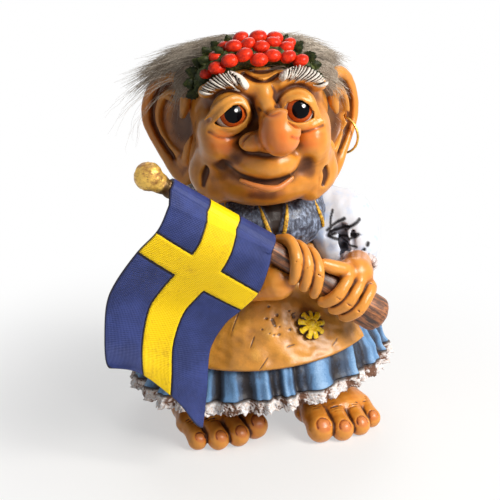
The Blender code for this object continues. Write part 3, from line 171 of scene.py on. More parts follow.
class Clay:
    """Clay on a grid of points, in millimetres: shapes are added, carved and engraved."""

    REACH = 4.0

    def __init__(self, low, high, step):
        self.step = step
        self.low = np.array(low, np.float32)
        self.axes = [np.arange(a, b + step, step, dtype=np.float32) for a, b in zip(low, high)]
        self.field = np.full([len(axis) for axis in self.axes], 99, np.float32)

    def part(self, low, high):
        slices = []
        for axis, a, b in zip(self.axes, low, high):
            first = int(max(0, (a - self.REACH - axis[0]) / self.step))
            last = int(min(len(axis), (b + self.REACH - axis[0]) / self.step + 2))
            slices.append(slice(first, max(first, last)))
        grids = np.meshgrid(*(axis[s] for axis, s in zip(self.axes, slices)), indexing="ij", sparse=True)
        return tuple(slices), grids

    def merge(self, part, distance, blend, take):
        now = self.field[part]
        if take:
            share = np.clip(0.5 - 0.5 * (now + distance) / blend, 0, 1)
            self.field[part] = now + (-distance - now) * share + blend * share * (1 - share)
        else:
            share = np.clip(0.5 + 0.5 * (now - distance) / blend, 0, 1)
            self.field[part] = now + (distance - now) * share - blend * share * (1 - share)

    def ball(self, centre, radii, blend=2.0, turn=None, take=False):
        """Adds an ellipsoid, or carves it away."""
        radii = np.array((radii,) * 3 if isinstance(radii, (int, float)) else radii, np.float32)
        size = float(max(radii))
        part, grids = self.part([c - size for c in centre], [c + size for c in centre])
        offset = [grid - c for grid, c in zip(grids, centre)]
        if turn:
            spin = turned(*turn).to_3x3().transposed()
            offset = [row[0] * offset[0] + row[1] * offset[1] + row[2] * offset[2] for row in spin]
        near = sum((axis / r) ** 2 for axis, r in zip(offset, radii))
        slope = sum((axis / (r * r)) ** 2 for axis, r in zip(offset, radii))
        near = np.sqrt(near)
        self.merge(part, near * (near - 1) / np.sqrt(slope + CLOSE), blend, take)

    def limb(self, points, radii, blend=1.5, steps=4, take=False):
        """Adds a smooth limb through the points, as thick as the radii say, or carves it away."""
        radii = [radii] * len(points) if isinstance(radii, (int, float)) else radii
        path = smooth_path([(*p, r) for p, r in zip(points, radii)], steps)
        size = path[:, 3].max()
        part, (x, y, z) = self.part(path[:, :3].min(0) - size, path[:, :3].max(0) + size)
        nearest = None
        for a, b in zip(path, path[1:]):
            run = b - a
            length = float(run[:3] @ run[:3]) + CLOSE
            t = np.clip(((x - a[0]) * run[0] + (y - a[1]) * run[1] + (z - a[2]) * run[2]) / length, 0, 1)
            away = np.sqrt((x - a[0] - t * run[0]) ** 2 + (y - a[1] - t * run[1]) ** 2
                           + (z - a[2] - t * run[2]) ** 2) - (a[3] + t * run[3])
            nearest = away if nearest is None else np.minimum(nearest, away)
        self.merge(part, nearest.astype(np.float32), blend, take)

    def flat_gap(self, points, u, v, closed=False):
        """Distance from a flat line, or from a closed outline with its inside negative."""
        points = np.array(points, float)
        pairs = zip(points, np.roll(points, -1, 0)) if closed else zip(points, points[1:])
        nearest = None
        inside = None
        for a, b in pairs:
            run = b - a
            t = np.clip(((u - a[0]) * run[0] + (v - a[1]) * run[1]) / (run @ run + CLOSE), 0, 1)
            away = (u - a[0] - t * run[0]) ** 2 + (v - a[1] - t * run[1]) ** 2
            nearest = away if nearest is None else np.minimum(nearest, away)
            if closed:
                crosses = (a[1] <= v) != (b[1] <= v)
                side = (u - a[0]) * (b[1] - a[1]) < (v - a[1]) * (b[0] - a[0])
                flip = crosses & (side if b[1] > a[1] else ~side)
                inside = flip if inside is None else inside ^ flip
        nearest = np.sqrt(nearest)
        return np.where(inside, -nearest, nearest) if closed else nearest

    def outline(self, points, near, far, blend=0.5, round_by=0.0, take=False):
        """Adds or carves a plate with the given outline in X and Z, between two depths."""
        points = np.array(points, float)
        low = (points[:, 0].min(), near, points[:, 1].min())
        high = (points[:, 0].max(), far, points[:, 1].max())
        part, (x, y, z) = self.part(low, high)
        side = self.flat_gap(points, x, z, closed=True) + round_by
        depth = np.abs(y - (near + far) / 2) - (far - near) / 2 + round_by
        gap = np.minimum(np.maximum(side, depth), 0)
        gap = gap + np.sqrt(np.maximum(side, 0) ** 2 + np.maximum(depth, 0) ** 2) - round_by
        self.merge(part, gap.astype(np.float32), blend, take)

    def engrave(self, points, width, depth, near=-99.0, far=99.0, steps=4):
        """Sinks the skin along a line given in X and Z, seen from the front; a negative depth raises it."""
        path = smooth_path(points, steps) if steps > 1 else np.array(points, float)
        low = (path[:, 0].min() - width, near, path[:, 1].min() - width)
        high = (path[:, 0].max() + width, far, path[:, 1].max() + width)
        part, (x, y, z) = self.part(low, high)
        gap = self.flat_gap(path, x, z)
        ends = step_up(y, near, near + 1) * (1 - step_up(y, far - 1, far))
        self.field[part] += (depth * np.exp(-(gap / width) ** 2) * ends).astype(np.float32)

    def roughen(self, size, depth, seed=0):
        """Uneven skin, as a hand leaves it in clay."""
        x, y, z = np.meshgrid(*self.axes, indexing="ij", sparse=True)
        random = np.random.RandomState(seed)
        for _ in range(4):
            way = random.normal(size=3)
            way *= WAVE / size / np.linalg.norm(way)
            other = random.normal(size=3)
            other *= WAVE / size / np.linalg.norm(other)
            wave = (np.sin(x * way[0] + y * way[1] + z * way[2] + random.uniform(0, 6))
                    * np.sin(x * other[0] + y * other[1] + z * other[2] + random.uniform(0, 6)))
            self.field += (depth * 0.5 * wave).astype(np.float32)

    def hollows(self, points, width):
        """How hollow the skin is at each point: above 0 in a groove, below 0 on a ridge."""
        soft = np.clip(self.field, -self.REACH * 0.7, self.REACH * 0.7)
        cells = max(1, int(round(width / self.step)))
        for axis in range(3):
            for _ in range(2):
                padded = np.concatenate([np.take(soft, [0] * (cells + 1), axis), soft,
                                         np.take(soft, [-1] * cells, axis)], axis)
                sums = np.cumsum(padded, axis, dtype=np.float64)
                count = soft.shape[axis]
                high = np.take(sums, np.arange(2 * cells + 1, 2 * cells + 1 + count), axis)
                low = np.take(sums, np.arange(count), axis)
                soft = ((high - low) / (2 * cells + 1)).astype(np.float32)
        spot = (points - self.low) / self.step
        base = np.clip(np.floor(spot).astype(int), 0, np.array(soft.shape) - 2)
        share = np.clip(spot - base, 0, 1)
        total = np.zeros(len(points))
        for dx in (0, 1):
            for dy in (0, 1):
                for dz in (0, 1):
                    weight = (abs(1 - dx - share[:, 0]) * abs(1 - dy - share[:, 1])
                              * abs(1 - dz - share[:, 2]))
                    total += weight * soft[base[:, 0] + dx, base[:, 1] + dy, base[:, 2] + dz]
        return -total / width

    def skin(self):
        """Quads round the clay: its points in millimetres, and its faces with their outside out."""
        field = self.field
        inside = field < 0
        count = np.zeros([n - 1 for n in field.shape], np.uint8)
        corners = [(i, j, k) for i in (0, 1) for j in (0, 1) for k in (0, 1)]

        def corner(array, c):
            return array[tuple(slice(o, o + n - 1) for o, n in zip(c, array.shape))]

        for c in corners:
            count += corner(inside, c)
        active = (count > 0) & (count < 8)
        cells = np.argwhere(active)
        values = {c: corner(field, c)[active] for c in corners}
        total = np.zeros((len(cells), 3))
        hits = np.zeros(len(cells))
        for a in corners:
            for axis in range(3):
                if a[axis]:
                    continue
                b = tuple(1 if n == axis else o for n, o in enumerate(a))
                crosses = (values[a] < 0) != (values[b] < 0)
                t = values[a] / np.where(crosses, values[a] - values[b], 1)
                spot = np.array(a, float) + np.zeros((len(cells), 3))
                spot[:, axis] = t
                total += spot * crosses[:, None]
                hits += crosses
        points = (cells + total / hits[:, None]) * self.step + self.low
        number = np.full(active.shape, -1)
        number[active] = np.arange(len(cells))
        faces = []
        rounds = (((0, 0, 0), (0, 1, 0), (0, 1, 1), (0, 0, 1)), ((0, 0, 0), (0, 0, 1), (1, 0, 1), (1, 0, 0)),
                  ((0, 0, 0), (1, 0, 0), (1, 1, 0), (0, 1, 0)))
        for axis, ring in enumerate(rounds):
            near = np.take(inside, np.arange(field.shape[axis] - 1), axis)
            far = np.take(inside, np.arange(1, field.shape[axis]), axis)
            inner = tuple(slice(None) if n == axis else slice(1, -1) for n in range(3))
            for mask, order in (((near & ~far)[inner], 1), ((far & ~near)[inner], -1)):
                spots = np.argwhere(mask)
                faces.append(np.stack([number[tuple((spots + c).T)] for c in ring], 1)[:, ::order])
        return points, np.vstack(faces)


# Meshes and pieces

def in_metres(points, place=FIGURE_PLACE):
    """Points in the scene's metres, from millimetres in the frame of place."""
    move = np.array(Matrix.Scale(MM, 4) @ Matrix.Translation(SHIFT) @ place)
    return np.asarray(points, float) @ move[:3, :3].T + move[:3, 3]


def build_mesh(name, points, faces, place=FIGURE_PLACE):
    """Smooth mesh from points in millimetres in the frame of place; faces are an array or a list."""
    points = in_metres(points, place)
    mesh = bpy.data.meshes.new(name)
    if isinstance(faces, np.ndarray):
        mesh.vertices.add(len(points))
        mesh.vertices.foreach_set("co", points.astype(np.float32).ravel())
        mesh.loops.add(faces.size)
        mesh.loops.foreach_set("vertex_index", faces.astype(np.int32).ravel())
        mesh.polygons.add(len(faces))
        mesh.polygons.foreach_set("loop_start", np.arange(0, faces.size, faces.shape[1], dtype=np.int32))
        mesh.update(calc_edges=True)
    else:
        mesh.from_pydata(points.tolist(), [], [list(map(int, face)) for face in faces])
    mesh.polygons.foreach_set("use_smooth", [True] * len(mesh.polygons))
    mesh.validate()
    return mesh


def face_outwards(mesh, merge=0.0):
    """Turns the faces outwards, once points closer than merge metres are joined."""
    bm = bmesh.new()
    bm.from_mesh(mesh)
    if merge:
        bmesh.ops.remove_doubles(bm, verts=bm.verts, dist=merge)
    bmesh.ops.recalc_face_normals(bm, faces=bm.faces)
    bm.to_mesh(mesh)
    bm.free()
    return mesh


def give(mesh, **values):
    """Gives the mesh's points named numbers that its paint reads."""
    for name, numbers in values.items():
        attribute = mesh.attributes.new(name, "FLOAT", "POINT")
        attribute.data.foreach_set("value", np.asarray(numbers, np.float32))


def put_in_scene(name, data):
    item = bpy.data.objects.new(name, data)
    bpy.context.scene.collection.objects.link(item)
    return item


def make_piece(name, mesh, material, nodes=(), body=FIGURE):
    """Puts a finished mesh in the scene, on its body, in place of the nodes it stands for."""
    item = put_in_scene(name, mesh)
    mesh.materials.clear()
    mesh.materials.append(material)
    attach(item, body)
    if nodes:
        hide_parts(*nodes)


def grid_faces(rows, columns, closed=False):
    """Quads over a grid of points that is numbered row by row."""
    r, c = np.meshgrid(np.arange(rows - 1), np.arange(columns if closed else columns - 1), indexing="ij")
    r, c = r.ravel(), c.ravel()
    after = (c + 1) % columns
    return np.stack([r * columns + c, r * columns + after, (r + 1) * columns + after, (r + 1) * columns + c],
                    1)


def ring_faces(turns, sides):
    """Quads of a ring that closes on itself, numbered round by round."""
    return grid_faces(turns + 1, sides, closed=True) % (turns * sides)


def plate_mesh(name, face, back, step=1):
    """Closed plate between two grids of points; a step of -1 takes its face and two edges backwards."""
    rows, columns = face.shape[:2]
    total = rows * columns
    quads = grid_faces(rows, columns)
    number = np.arange(total).reshape(rows, columns)
    rim = [np.stack([line[:-1], line[1:], line[1:] + total, line[:-1] + total], 1)
           for line in (number[0], number[-1, ::step], number[::step, 0], number[:, -1])]
    points = np.vstack([face.reshape(-1, 3), back.reshape(-1, 3)])
    return face_outwards(build_mesh(name, points, np.vstack([quads[:, ::step], quads + total, *rim])))


def closed_rings(name, rings, place=FIGURE_PLACE):
    """Mesh through rings of points, with a fan at each end."""
    rings = np.asarray(rings)
    count, turns = rings.shape[:2]
    points = np.vstack([rings.reshape(-1, 3), rings[0].mean(0), rings[-1].mean(0)])
    low, high, top = len(points) - 2, len(points) - 1, (count - 1) * turns
    fans = [(low, (c + 1) % turns, c) for c in range(turns)]
    fans += [(high, top + c, top + (c + 1) % turns) for c in range(turns)]
    return face_outwards(build_mesh(name, points, [*grid_faces(count, turns, closed=True), *fans], place))


# Node trees, for materials and for geometry

class Wire:
    """A socket with arithmetic: an expression on wires adds its Math nodes."""

    def __init__(self, nodes, socket):
        self.nodes = nodes
        self.socket = socket

    def math(self, operation, *values, clamp=False):
        settings = {"operation": operation, "use_clamp": clamp}
        return self.nodes.add("ShaderNodeMath", settings, dict(enumerate(values)))

    def __add__(self, other):
        return self.math("ADD", self, other)

    def __sub__(self, other):
        return self.math("SUBTRACT", self, other)

    def __rsub__(self, other):
        return self.math("SUBTRACT", other, self)

    def __mul__(self, other):
        return self.math("MULTIPLY", self, other)

    __radd__ = __add__
    __rmul__ = __mul__

    def sine(self):
        return self.math("SINE", self)

    def above(self, low, high):
        """0 below low, 1 above high, smooth between."""
        settings = {"interpolation_type": "SMOOTHSTEP"}
        return self.nodes.add("ShaderNodeMapRange", settings, {0: self, 1: low, 2: high})

    def size(self):
        return self.math("ABSOLUTE", self)

    def most(self, other):
        return self.math("MAXIMUM", self, other)

    def clamped(self):
        return self.math("ADD", self, 0.0, clamp=True)


class Nodes:
    """A node tree under way."""

    def __init__(self, tree):
        self.tree = tree

    def add(self, kind, settings=None, inputs=None, output=0):
        """Adds a node with its settings, then its input values or links, and gives one of its outputs."""
        node = self.tree.nodes.new(kind)
        for key, value in (settings or {}).items():
            setattr(node, key, value)
        for key, value in (inputs or {}).items():
            if isinstance(value, Wire):
                self.tree.links.new(value.socket, node.inputs[key])
            else:
                node.inputs[key].default_value = value
        return Wire(self, node.outputs[output])

    def vector(self, operation, *values):
        return self.add("ShaderNodeVectorMath", {"operation": operation}, dict(enumerate(values)))

    def scaled(self, vector, by):
        return self.add("ShaderNodeVectorMath", {"operation": "SCALE"}, {0: vector, "Scale": by})


class Finish(Nodes):
    """A material under way: coats of colour on one Principled shader."""

    def __init__(self, name, roughness=0.5, **sockets):
        self.material = bpy.data.materials.new(name)
        self.material.use_nodes = True
        super().__init__(self.material.node_tree)
        self.shader = self.tree.nodes["Principled BSDF"]
        self.place = self.add("ShaderNodeTexCoord", output="Object")
        self.base = None
        self.put(Roughness=roughness, **sockets)

    def put(self, **sockets):
        for name, value in sockets.items():
            socket = self.shader.inputs[name.replace("_", " ")]
            if isinstance(value, Wire):
                self.tree.links.new(value.socket, socket)
            else:
                socket.default_value = (*value, 1.0) if isinstance(value, tuple) else value

    def value(self, name):
        """The named numbers of the mesh's points."""
        return self.add("ShaderNodeAttribute", {"attribute_name": name}, output="Fac")

    def noise(self, per_mm, detail=3.0, rough=0.55, stretch=None):
        """Noise between 0 and 1, with about so many lumps a millimetre."""
        place = self.vector("MULTIPLY", self.place, stretch) if stretch else self.place
        inputs = {"Vector": place, "Scale": per_mm / MM, "Detail": detail, "Roughness": rough}
        return self.add("ShaderNodeTexNoise", inputs=inputs)

    def mix(self, mask, first, second):
        """The first colour where the mask is 0, the second where it is 1."""
        settings = {"data_type": "RGBA", "blend_type": "MIX", "clamp_factor": True}
        first, second = (tone if isinstance(tone, Wire) else (*tone, 1.0) for tone in (first, second))
        return self.add("ShaderNodeMix", settings, {0: mask, 6: first, 7: second}, output=2)

    def coat(self, mask, tone, under=None):
        """Lays a colour where the mask is 1, over the coats so far or over the one named under it."""
        self.base = self.mix(mask, under or self.base, tone)

    def bump(self, height, depth_mm, strength=1.0):
        inputs = {"Height": height, "Distance": depth_mm * MM, "Strength": strength}
        return self.add("ShaderNodeBump", inputs=inputs)

    def done(self, **sockets):
        self.put(Base_Color=self.base, **sockets)
        return self.material


def toned(tone, *shares):
    """A colour with each channel cut to its share, or all to the same one."""
    return tuple(c * share for c, share in zip(tone, shares if len(shares) > 1 else shares * 3))


# Sizes and colours a user would change

def colour(name, description, default):
    return FloatVectorProperty(name=name, description=description, default=default, subtype="COLOR", size=3,
                               min=0.0, max=1.0)


class TrollSkin(PropertyGroup):
    ochre: colour("Ochre", "Skin paint where it is worn thin", (0.66, 0.24, 0.024))
    blush: colour("Blush", "Red on the nose and the cheeks", (0.70, 0.12, 0.012))
    lip: colour("Lip", "Lower lip and nails", (0.52, 0.095, 0.032))
    # darkest coat in the hollows: partly the wash of the real paint, partly painted shade
    wash_and_shade: colour("Wash", "Dark wash that stays in the hollows", (0.055, 0.014, 0.004))
    brow: colour("Brow", "Brush of pale paint on the brows", (0.82, 0.76, 0.68))
    iris: colour("Iris", "Ring of the glass eyes", (0.62, 0.10, 0.012))
    grain: FloatProperty(name="Clay grain", description="Step of the clay that the head is cut from, in mm",
                         default=0.56, min=0.3, max=1.5)


class TrollDress(PropertyGroup):
    flag_blue: colour("Flag blue", "Main colour of the flag", (0.040, 0.060, 0.225))
    flag_yellow: colour("Flag yellow", "Cross of the flag", (0.98, 0.66, 0.003))
    skirt_blue: colour("Skirt blue", "Raised parts of the pleats", (0.12, 0.25, 0.46))
    apron: colour("Apron", "Apron's paint", (0.62, 0.26, 0.03))
    bodice: colour("Bodice", "Blue-grey of the bodice", (0.19, 0.23, 0.32))
    edging: colour("Edging", "Yellow trim and the flower", (0.78, 0.46, 0.04))
    linen: colour("Linen", "Sleeves, cuffs and frill", (0.80, 0.83, 0.88))


class TrollStage(PropertyGroup):
    azimuth: FloatProperty(name="Azimuth", description="Camera's turn round the figure",
                           default=math.radians(-12.0),
                           subtype="ANGLE")
    elevation: FloatProperty(name="Elevation", description="Camera's height over the horizon",
                             default=math.radians(22.0), subtype="ANGLE")
    distance: FloatProperty(name="Distance", description="Camera to the figure's middle", default=0.65,
                            subtype="DISTANCE", min=0.2)
    lens: FloatProperty(name="Lens", description="Focal length in mm", default=103.99, min=20)
    key_light: FloatProperty(name="Key light", description="Power of the large lamp at the right, in watts",
                             default=7.8, min=0)
    fill_light: FloatProperty(name="Fill light", description="Power of the lamp at the left, in watts",
                              default=0.32, min=0)
    room: FloatProperty(name="Room", description="Strength of the plain light all round", default=0.07, min=0)


# Materials

def skin_material():
    """One skin paint, shared by all the bare parts of the body."""
    return bpy.data.materials.get("troll_painted_skin") or skin_paint()


def skin_paint():
    skin = bpy.context.scene.troll_skin
    paint = Finish("troll_painted_skin", 0.36, Coat_Roughness=0.22, Specular_IOR_Level=0.30, Coat_Weight=0.12)
    hollow = paint.value("hollow")
    mottle = paint.noise(0.22, 5.0, 0.6)
    fine = paint.noise(1.6)
    paint.coat(mottle.above(0.32, 0.72), skin.ochre, under=toned(skin.ochre, 0.82))
    paint.coat(paint.value("blush") * (0.85 + 0.3 * mottle), skin.blush)
    paint.coat(paint.value("pink") * 0.85, skin.lip)
    # lighter paint on the ridges, then umber round the hollows and dark in them: the wash of the paint
    # together with painted shade
    paint.coat((0.0 - hollow).above(0.05, 0.5) * 0.25, (0.82, 0.45, 0.11))
    umber = paint.mix(mottle, (0.22, 0.075, 0.018), (0.16, 0.045, 0.012))
    paint.coat((hollow + (fine - 0.5) * 0.16 + (mottle - 0.5) * 0.22).above(-0.13, 0.27) * 0.85, umber)
    paint.coat((hollow + (fine - 0.5) * 0.12).above(0.18, 0.54) * 0.9, skin.wash_and_shade)
    # dark: the painted line of the mouth, and painted shade in the bowl of each ear
    paint.coat(paint.value("dark"), (0.030, 0.010, 0.004))
    rough = 0.30 + hollow.above(0.0, 0.5) * 0.3 + (fine - 0.5) * 0.12
    return paint.done(Roughness=rough, Normal=paint.bump(fine * 0.7 + paint.noise(0.5, 4.0), 0.10, 0.28))


def brow_paint():
    brow = bpy.context.scene.troll_skin.brow
    paint = Finish("troll_brow_paint", 0.55)
    hollow = paint.value("hollow")
    fine = paint.noise(2.2)
    paint.coat(fine, toned(brow, 0.72), under=brow)
    paint.coat((hollow + (fine - 0.5) * 0.3).above(-0.1, 0.25), (0.17, 0.06, 0.02))
    paint.coat((hollow + (fine - 0.5) * 0.2).above(0.15, 0.5), (0.025, 0.009, 0.005))
    return paint.done(Normal=paint.bump(fine, 0.1, 0.5))


# Rings of the eye, in degrees from where it looks: each mask starts and ends at these
PUPIL, IRIS_RIM, IRIS, WHITE_SHADE = (29.5, 31.5), (42, 50), (46.5, 49.5), (50, 88)
# edges of the painted highlight on the eye, in degrees from its middle
PAINTED_HIGHLIGHT = (4.0, 7.0)


def eye_glass():
    tone = bpy.context.scene.troll_skin.iris
    paint = Finish("troll_eye_glass", 0.03, Specular_IOR_Level=0.08)
    angle = paint.value("gaze")
    iris = paint.mix(paint.noise(1.1, 4.0, stretch=(1.0, 0.2, 1.0)), tone, toned(tone, 0.35))
    iris = paint.mix(angle.above(*IRIS_RIM), iris, (0.05, 0.008, 0.003))
    white = paint.mix(angle.above(*WHITE_SHADE), (0.55, 0.47, 0.42), (0.20, 0.08, 0.05))
    paint.coat(angle.above(*IRIS), white, under=iris)
    paint.coat(1.0 - angle.above(*PUPIL), (0.002, 0.002, 0.003))
    # small white dot painted on the glass as the highlight of a window
    paint.coat(1.0 - paint.value("spark").above(*PAINTED_HIGHLIGHT), (0.85, 0.85, 0.86))
    return paint.done()


def hoop_brass():
    paint = Finish("troll_hoop_brass", 0.24, Metallic=1.0)
    wear = paint.noise(1.5, 4.0)
    paint.coat(wear.above(0.4, 0.7), (0.62, 0.33, 0.06), under=(0.86, 0.56, 0.13))
    return paint.done(Roughness=0.18 + wear * 0.18, Normal=paint.bump(wear, 0.05, 0.3))


# Head

LID_RADIUS = EYE_RADIUS + 0.7
EYE_OPENINGS = {
    "right": ((-21.6, 2.6), (-19.2, 5.8), (-16.6, 8.2), (-13.6, 10.6), (-10.8, 10.4), (-8.6, 8.6),
              (-8.0, 5.8),
              (-9.4, 3.2), (-12.0, 1.8), (-15.0, 1.0), (-18.6, 1.2)),
    "left": ((6.4, 7.6), (8.2, 10.4), (11.2, 12.0), (14.2, 11.9), (17.0, 10.0), (19.6, 6.4), (19.8, 3.8),
             (15.8, 2.4), (12.3, 2.2), (9.2, 3.2), (6.8, 5.2)),
}
LID_LINES = {
    # upper rim, fold over it, lower rim, bag under it: X and Z
    "right": (((-23.8, 1.4), (-20.4, 5.8), (-17.0, 9.4), (-13.4, 11.4), (-10.2, 11.0), (-7.8, 8.2)),
              ((-25.2, 3.9), (-21.2, 9.0), (-16.8, 12.4), (-12.7, 13.6), (-9.4, 12.2), (-7.2, 8.0)),
              ((-22.4, 1.8), (-18.6, 0.6), (-14.8, 0.4), (-11.4, 1.2), (-8.6, 3.6)),
              ((-23.6, 0.8), (-20.1, -1.0), (-15.8, -1.6), (-11.5, -0.6), (-8.8, 1.4))),
    "left": (((5.6, 8.0), (7.8, 11.4), (11.4, 12.9), (14.8, 12.6), (18.4, 9.8), (21.6, 3.6)),
             ((4.9, 8.8), (7.2, 12.8), (11.2, 15.1), (15.6, 14.6), (19.4, 10.6), (22.4, 4.4)),
             ((6.4, 4.8), (9.0, 2.6), (12.4, 1.6), (16.2, 1.8), (20.6, 3.4)),
             ((8.0, 1.6), (11.8, 0.0), (16.3, 0.2), (20.5, 1.4), (23.4, 2.2))),
}
MOUTH = ((-18.0, -33.2, -13.8), (-16.2, -34.4, -14.8), (-13.7, -36.0, -16.5), (-10.5, -38.0, -18.8),
         (-5.5, -40.0, -20.5), (-0.5, -41.2, -21.3), (4.7, -40.8, -20.7), (9.8, -38.5, -19.4),
         (13.4, -36.0, -16.9))
BROWS = {
    # X, Z, half height
    "right": ((-9.6, 17.6, 1.8), (-11.6, 19.0, 2.7), (-14.8, 19.9, 3.0), (-18.6, 18.9, 2.7),
              (-22.4, 16.8, 2.2),
              (-24.8, 14.8, 1.2)),
    "left": ((8.2, 20.8, 1.7), (10.6, 21.3, 2.5), (14.4, 21.8, 2.9), (18.6, 20.6, 2.6), (22.2, 18.6, 2.0),
             (24.0, 17.2, 1.1)),
}


def on_lid(eye, spots, radius):
    """Points on a ball round the eye, from X and Z as seen from the front."""
    return [(x, eye.y - math.sqrt(max(4.0, radius ** 2 - (x - eye.x) ** 2 - (z - eye.z) ** 2)), z)
            for x, z in spots]


def brow_depth(x, z):
    """Y of the forehead's skin under a brow."""
    return -33.9 + 0.0105 * x * x + 0.06 * max(0.0, z - 18)


def sculpt_head(clay):
    clay.ball((0, 2, 4), (30, 31, 24.5))
    clay.ball((0, -12, 13), (25.4, 19.2, 13), 4)
    clay.ball((0, -9, 3), (27.0, 21, 15), 4)
    clay.ball((0, -3, -14), (30.0, 29, 19.0), 5)
    clay.ball((-20.4, -13.5, -19), (11.0, 13, 12.0), 4)
    clay.ball((20.4, -13.5, -20), (11.0, 13, 12.0), 4)
    clay.ball((-1, -23.5, -24.6), (19, 10.4, 9.2), 6)
    clay.ball((0, -19.5, -22.5), (25.5, 12.0, 9.6), 6)
    for side in (-1, 1):
        clay.ball((side * 22.5, -20, -3), (6.0, 9.0, 10.0), 4)
    # muzzle over the mouth, and the apples of the cheeks
    clay.ball((-0.5, -30.5, -13.8), (14.5, 11.0, 7.4), 3)
    clay.ball((1.0, -33.0, -16.0), (10.0, 7.6, 4.6), 2.5)
    clay.limb(((-19.5, -28.0, -1.5), (-18.5, -28.5, -6.5), (-20.0, -26.0, -12.0)), (7.2, 8.0, 6.5), 5)
    clay.limb(((18.5, -28.5, -1.5), (19.0, -28.5, -6.5), (21.0, -25.0, -13.0)), (6.8, 7.6, 6.4), 5)
    clay.limb(((-24, -20, -14), (-25.0, -19, -22), (-20, -21, -28)), (5.4, 6.0, 5.4), 3)
    clay.limb(((25, -19, -15), (25.8, -18, -22), (20, -20, -28.5)), (5.0, 5.6, 5.2), 3)
    # brow ridge and nose
    clay.limb(((-7, -29.6, 16.0), (-15, -28.4, 19.0), (-24.5, -23.6, 14.5)), (2.6, 3.2, 2.8), 4)
    clay.limb(((6.5, -30.0, 19.0), (14.5, -28.4, 20.5), (23.5, -23.6, 16.5)), (2.5, 3.1, 2.7), 4)
    clay.limb(((-0.8, -29.5, 15.5), (-0.6, -32.5, 11.0), (0.5, -36.5, 7.5), (2.5, -41.0, 3.0)),
              (4.6, 4.2, 4.6, 6.2), 2.5)
    clay.ball((1.5, -39.0, -3.8), (8.6, 8.0, 5.4), 2)
    clay.ball((-6.8, -38.4, -4.6), (5.0, 5.4, 4.0), 1.6)
    clay.ball((8.6, -40.5, -5.0), (3.6, 5.0, 3.4), 1.6)
    clay.ball((4.1, -47.4, 0.5), (8.5, 9.8, 9.7), 2.4)
    # sockets, then the lids over the eyes
    clay.limb(((-6.4, -38.0, 11.0), (-6.3, -38.5, 7.0), (-7.4, -38.2, 3.0)), (2.4, 2.9, 1.6), 2, take=True)
    clay.limb(((5.6, -38.5, 13.5), (5.3, -39.0, 10.0)), (2.0, 2.3), 2, take=True)
    clay.limb(((-9.5, -38.6, 14.4), (-15.0, -38.3, 14.6), (-21.5, -34.5, 10.8)), (1.9, 2.0, 1.4), 1.5,
              take=True)
    clay.limb(((7.6, -39.0, 16.6), (13.0, -39.0, 16.8), (20.5, -34.5, 13.4)), (1.7, 1.8, 1.3), 1.5, take=True)
    for side, eye in EYES.items():
        upper, fold, lower, bag = LID_LINES[side]
        clay.ball(eye, LID_RADIUS + 0.5, 1.6)
        clay.limb(on_lid(eye, fold, LID_RADIUS + 0.7), (0.4, 0.6, 0.7, 0.7, 0.6, 0.4), 1.8)
        clay.limb(on_lid(eye, bag, LID_RADIUS + 0.6), (0.4, 0.7, 0.9, 0.7, 0.4), 2.2)
        clay.outline(EYE_OPENINGS[side], -60, eye.y - 1.0, 0.5, take=True)
        clay.ball(eye, EYE_RADIUS, 0.2, take=True)
        clay.limb(on_lid(eye, upper, LID_RADIUS + 0.1), (0.4, 0.6, 0.75, 0.75, 0.6, 0.4), 0.9)
        clay.limb(on_lid(eye, lower, LID_RADIUS + 0.0), (0.4, 0.6, 0.7, 0.6, 0.4), 0.9)
        clay.engrave([(x, z - 1.6) for x, z in bag], 0.9, 0.5, far=-24)
    # mouth
    clay.limb(((-11.0, -36.0, -20.9), (-4.2, -38.0, -23.3), (0.6, -38.9, -24.2), (5.0, -38.4, -23.6),
               (10.4, -36.0, -20.4)), (0.9, 1.3, 1.5, 1.3, 0.9), 2.0)
    clay.limb(MOUTH, (1.0, 1.1, 1.0, 0.95, 1.1, 1.2, 1.1, 0.9, 0.8), 0.7, take=True)
    clay.ball((-19.0, -35.0, -15.6), (4.2, 3.6, 2.7), 2.2, turn=(0, -20, 0), take=True)
    clay.ball((17.0, -35.6, -16.8), (3.6, 4.4, 4.6), 2.0, take=True)
    clay.limb(((-5.6, -39.5, 1.4), (-9.2, -40.5, -1.4), (-12.2, -41.0, -4.6), (-12.4, -40.5, -8.0)),
              (1.2, 1.7, 1.9, 1.4), 1.0, take=True)
    clay.limb(((-12.6, -38.6, -8.8), (-15.4, -37.6, -11.6), (-18.6, -36.0, -13.6)), (0.9, 1.0, 1.4), 1.6,
              take=True)
    clay.limb(((11.8, -41.5, -2.0), (12.8, -41.0, -6.0), (14.4, -38.5, -10.5)), (1.0, 1.3, 1.3), 1.4,
              take=True)
    clay.limb(((-9.6, -39.6, -9.0), (-3.0, -41.0, -9.9), (3.0, -41.8, -9.8), (10.6, -41.0, -8.4)),
              (0.6, 0.9, 0.9, 0.6), 1.0, take=True)
    for line, width in ((((-23.9, -27.6, -16.2), (-25.6, -26.4, -20.3), (-26.3, -25.4, -24.8)),
                         (1.2, 1.7, 1.2)),
                        (((24.4, -26.6, -17.6), (26.2, -25.6, -21.8), (25.0, -25.0, -25.8)),
                         (1.2, 1.7, 1.2))):
        clay.limb(line, width, 0.8, take=True)
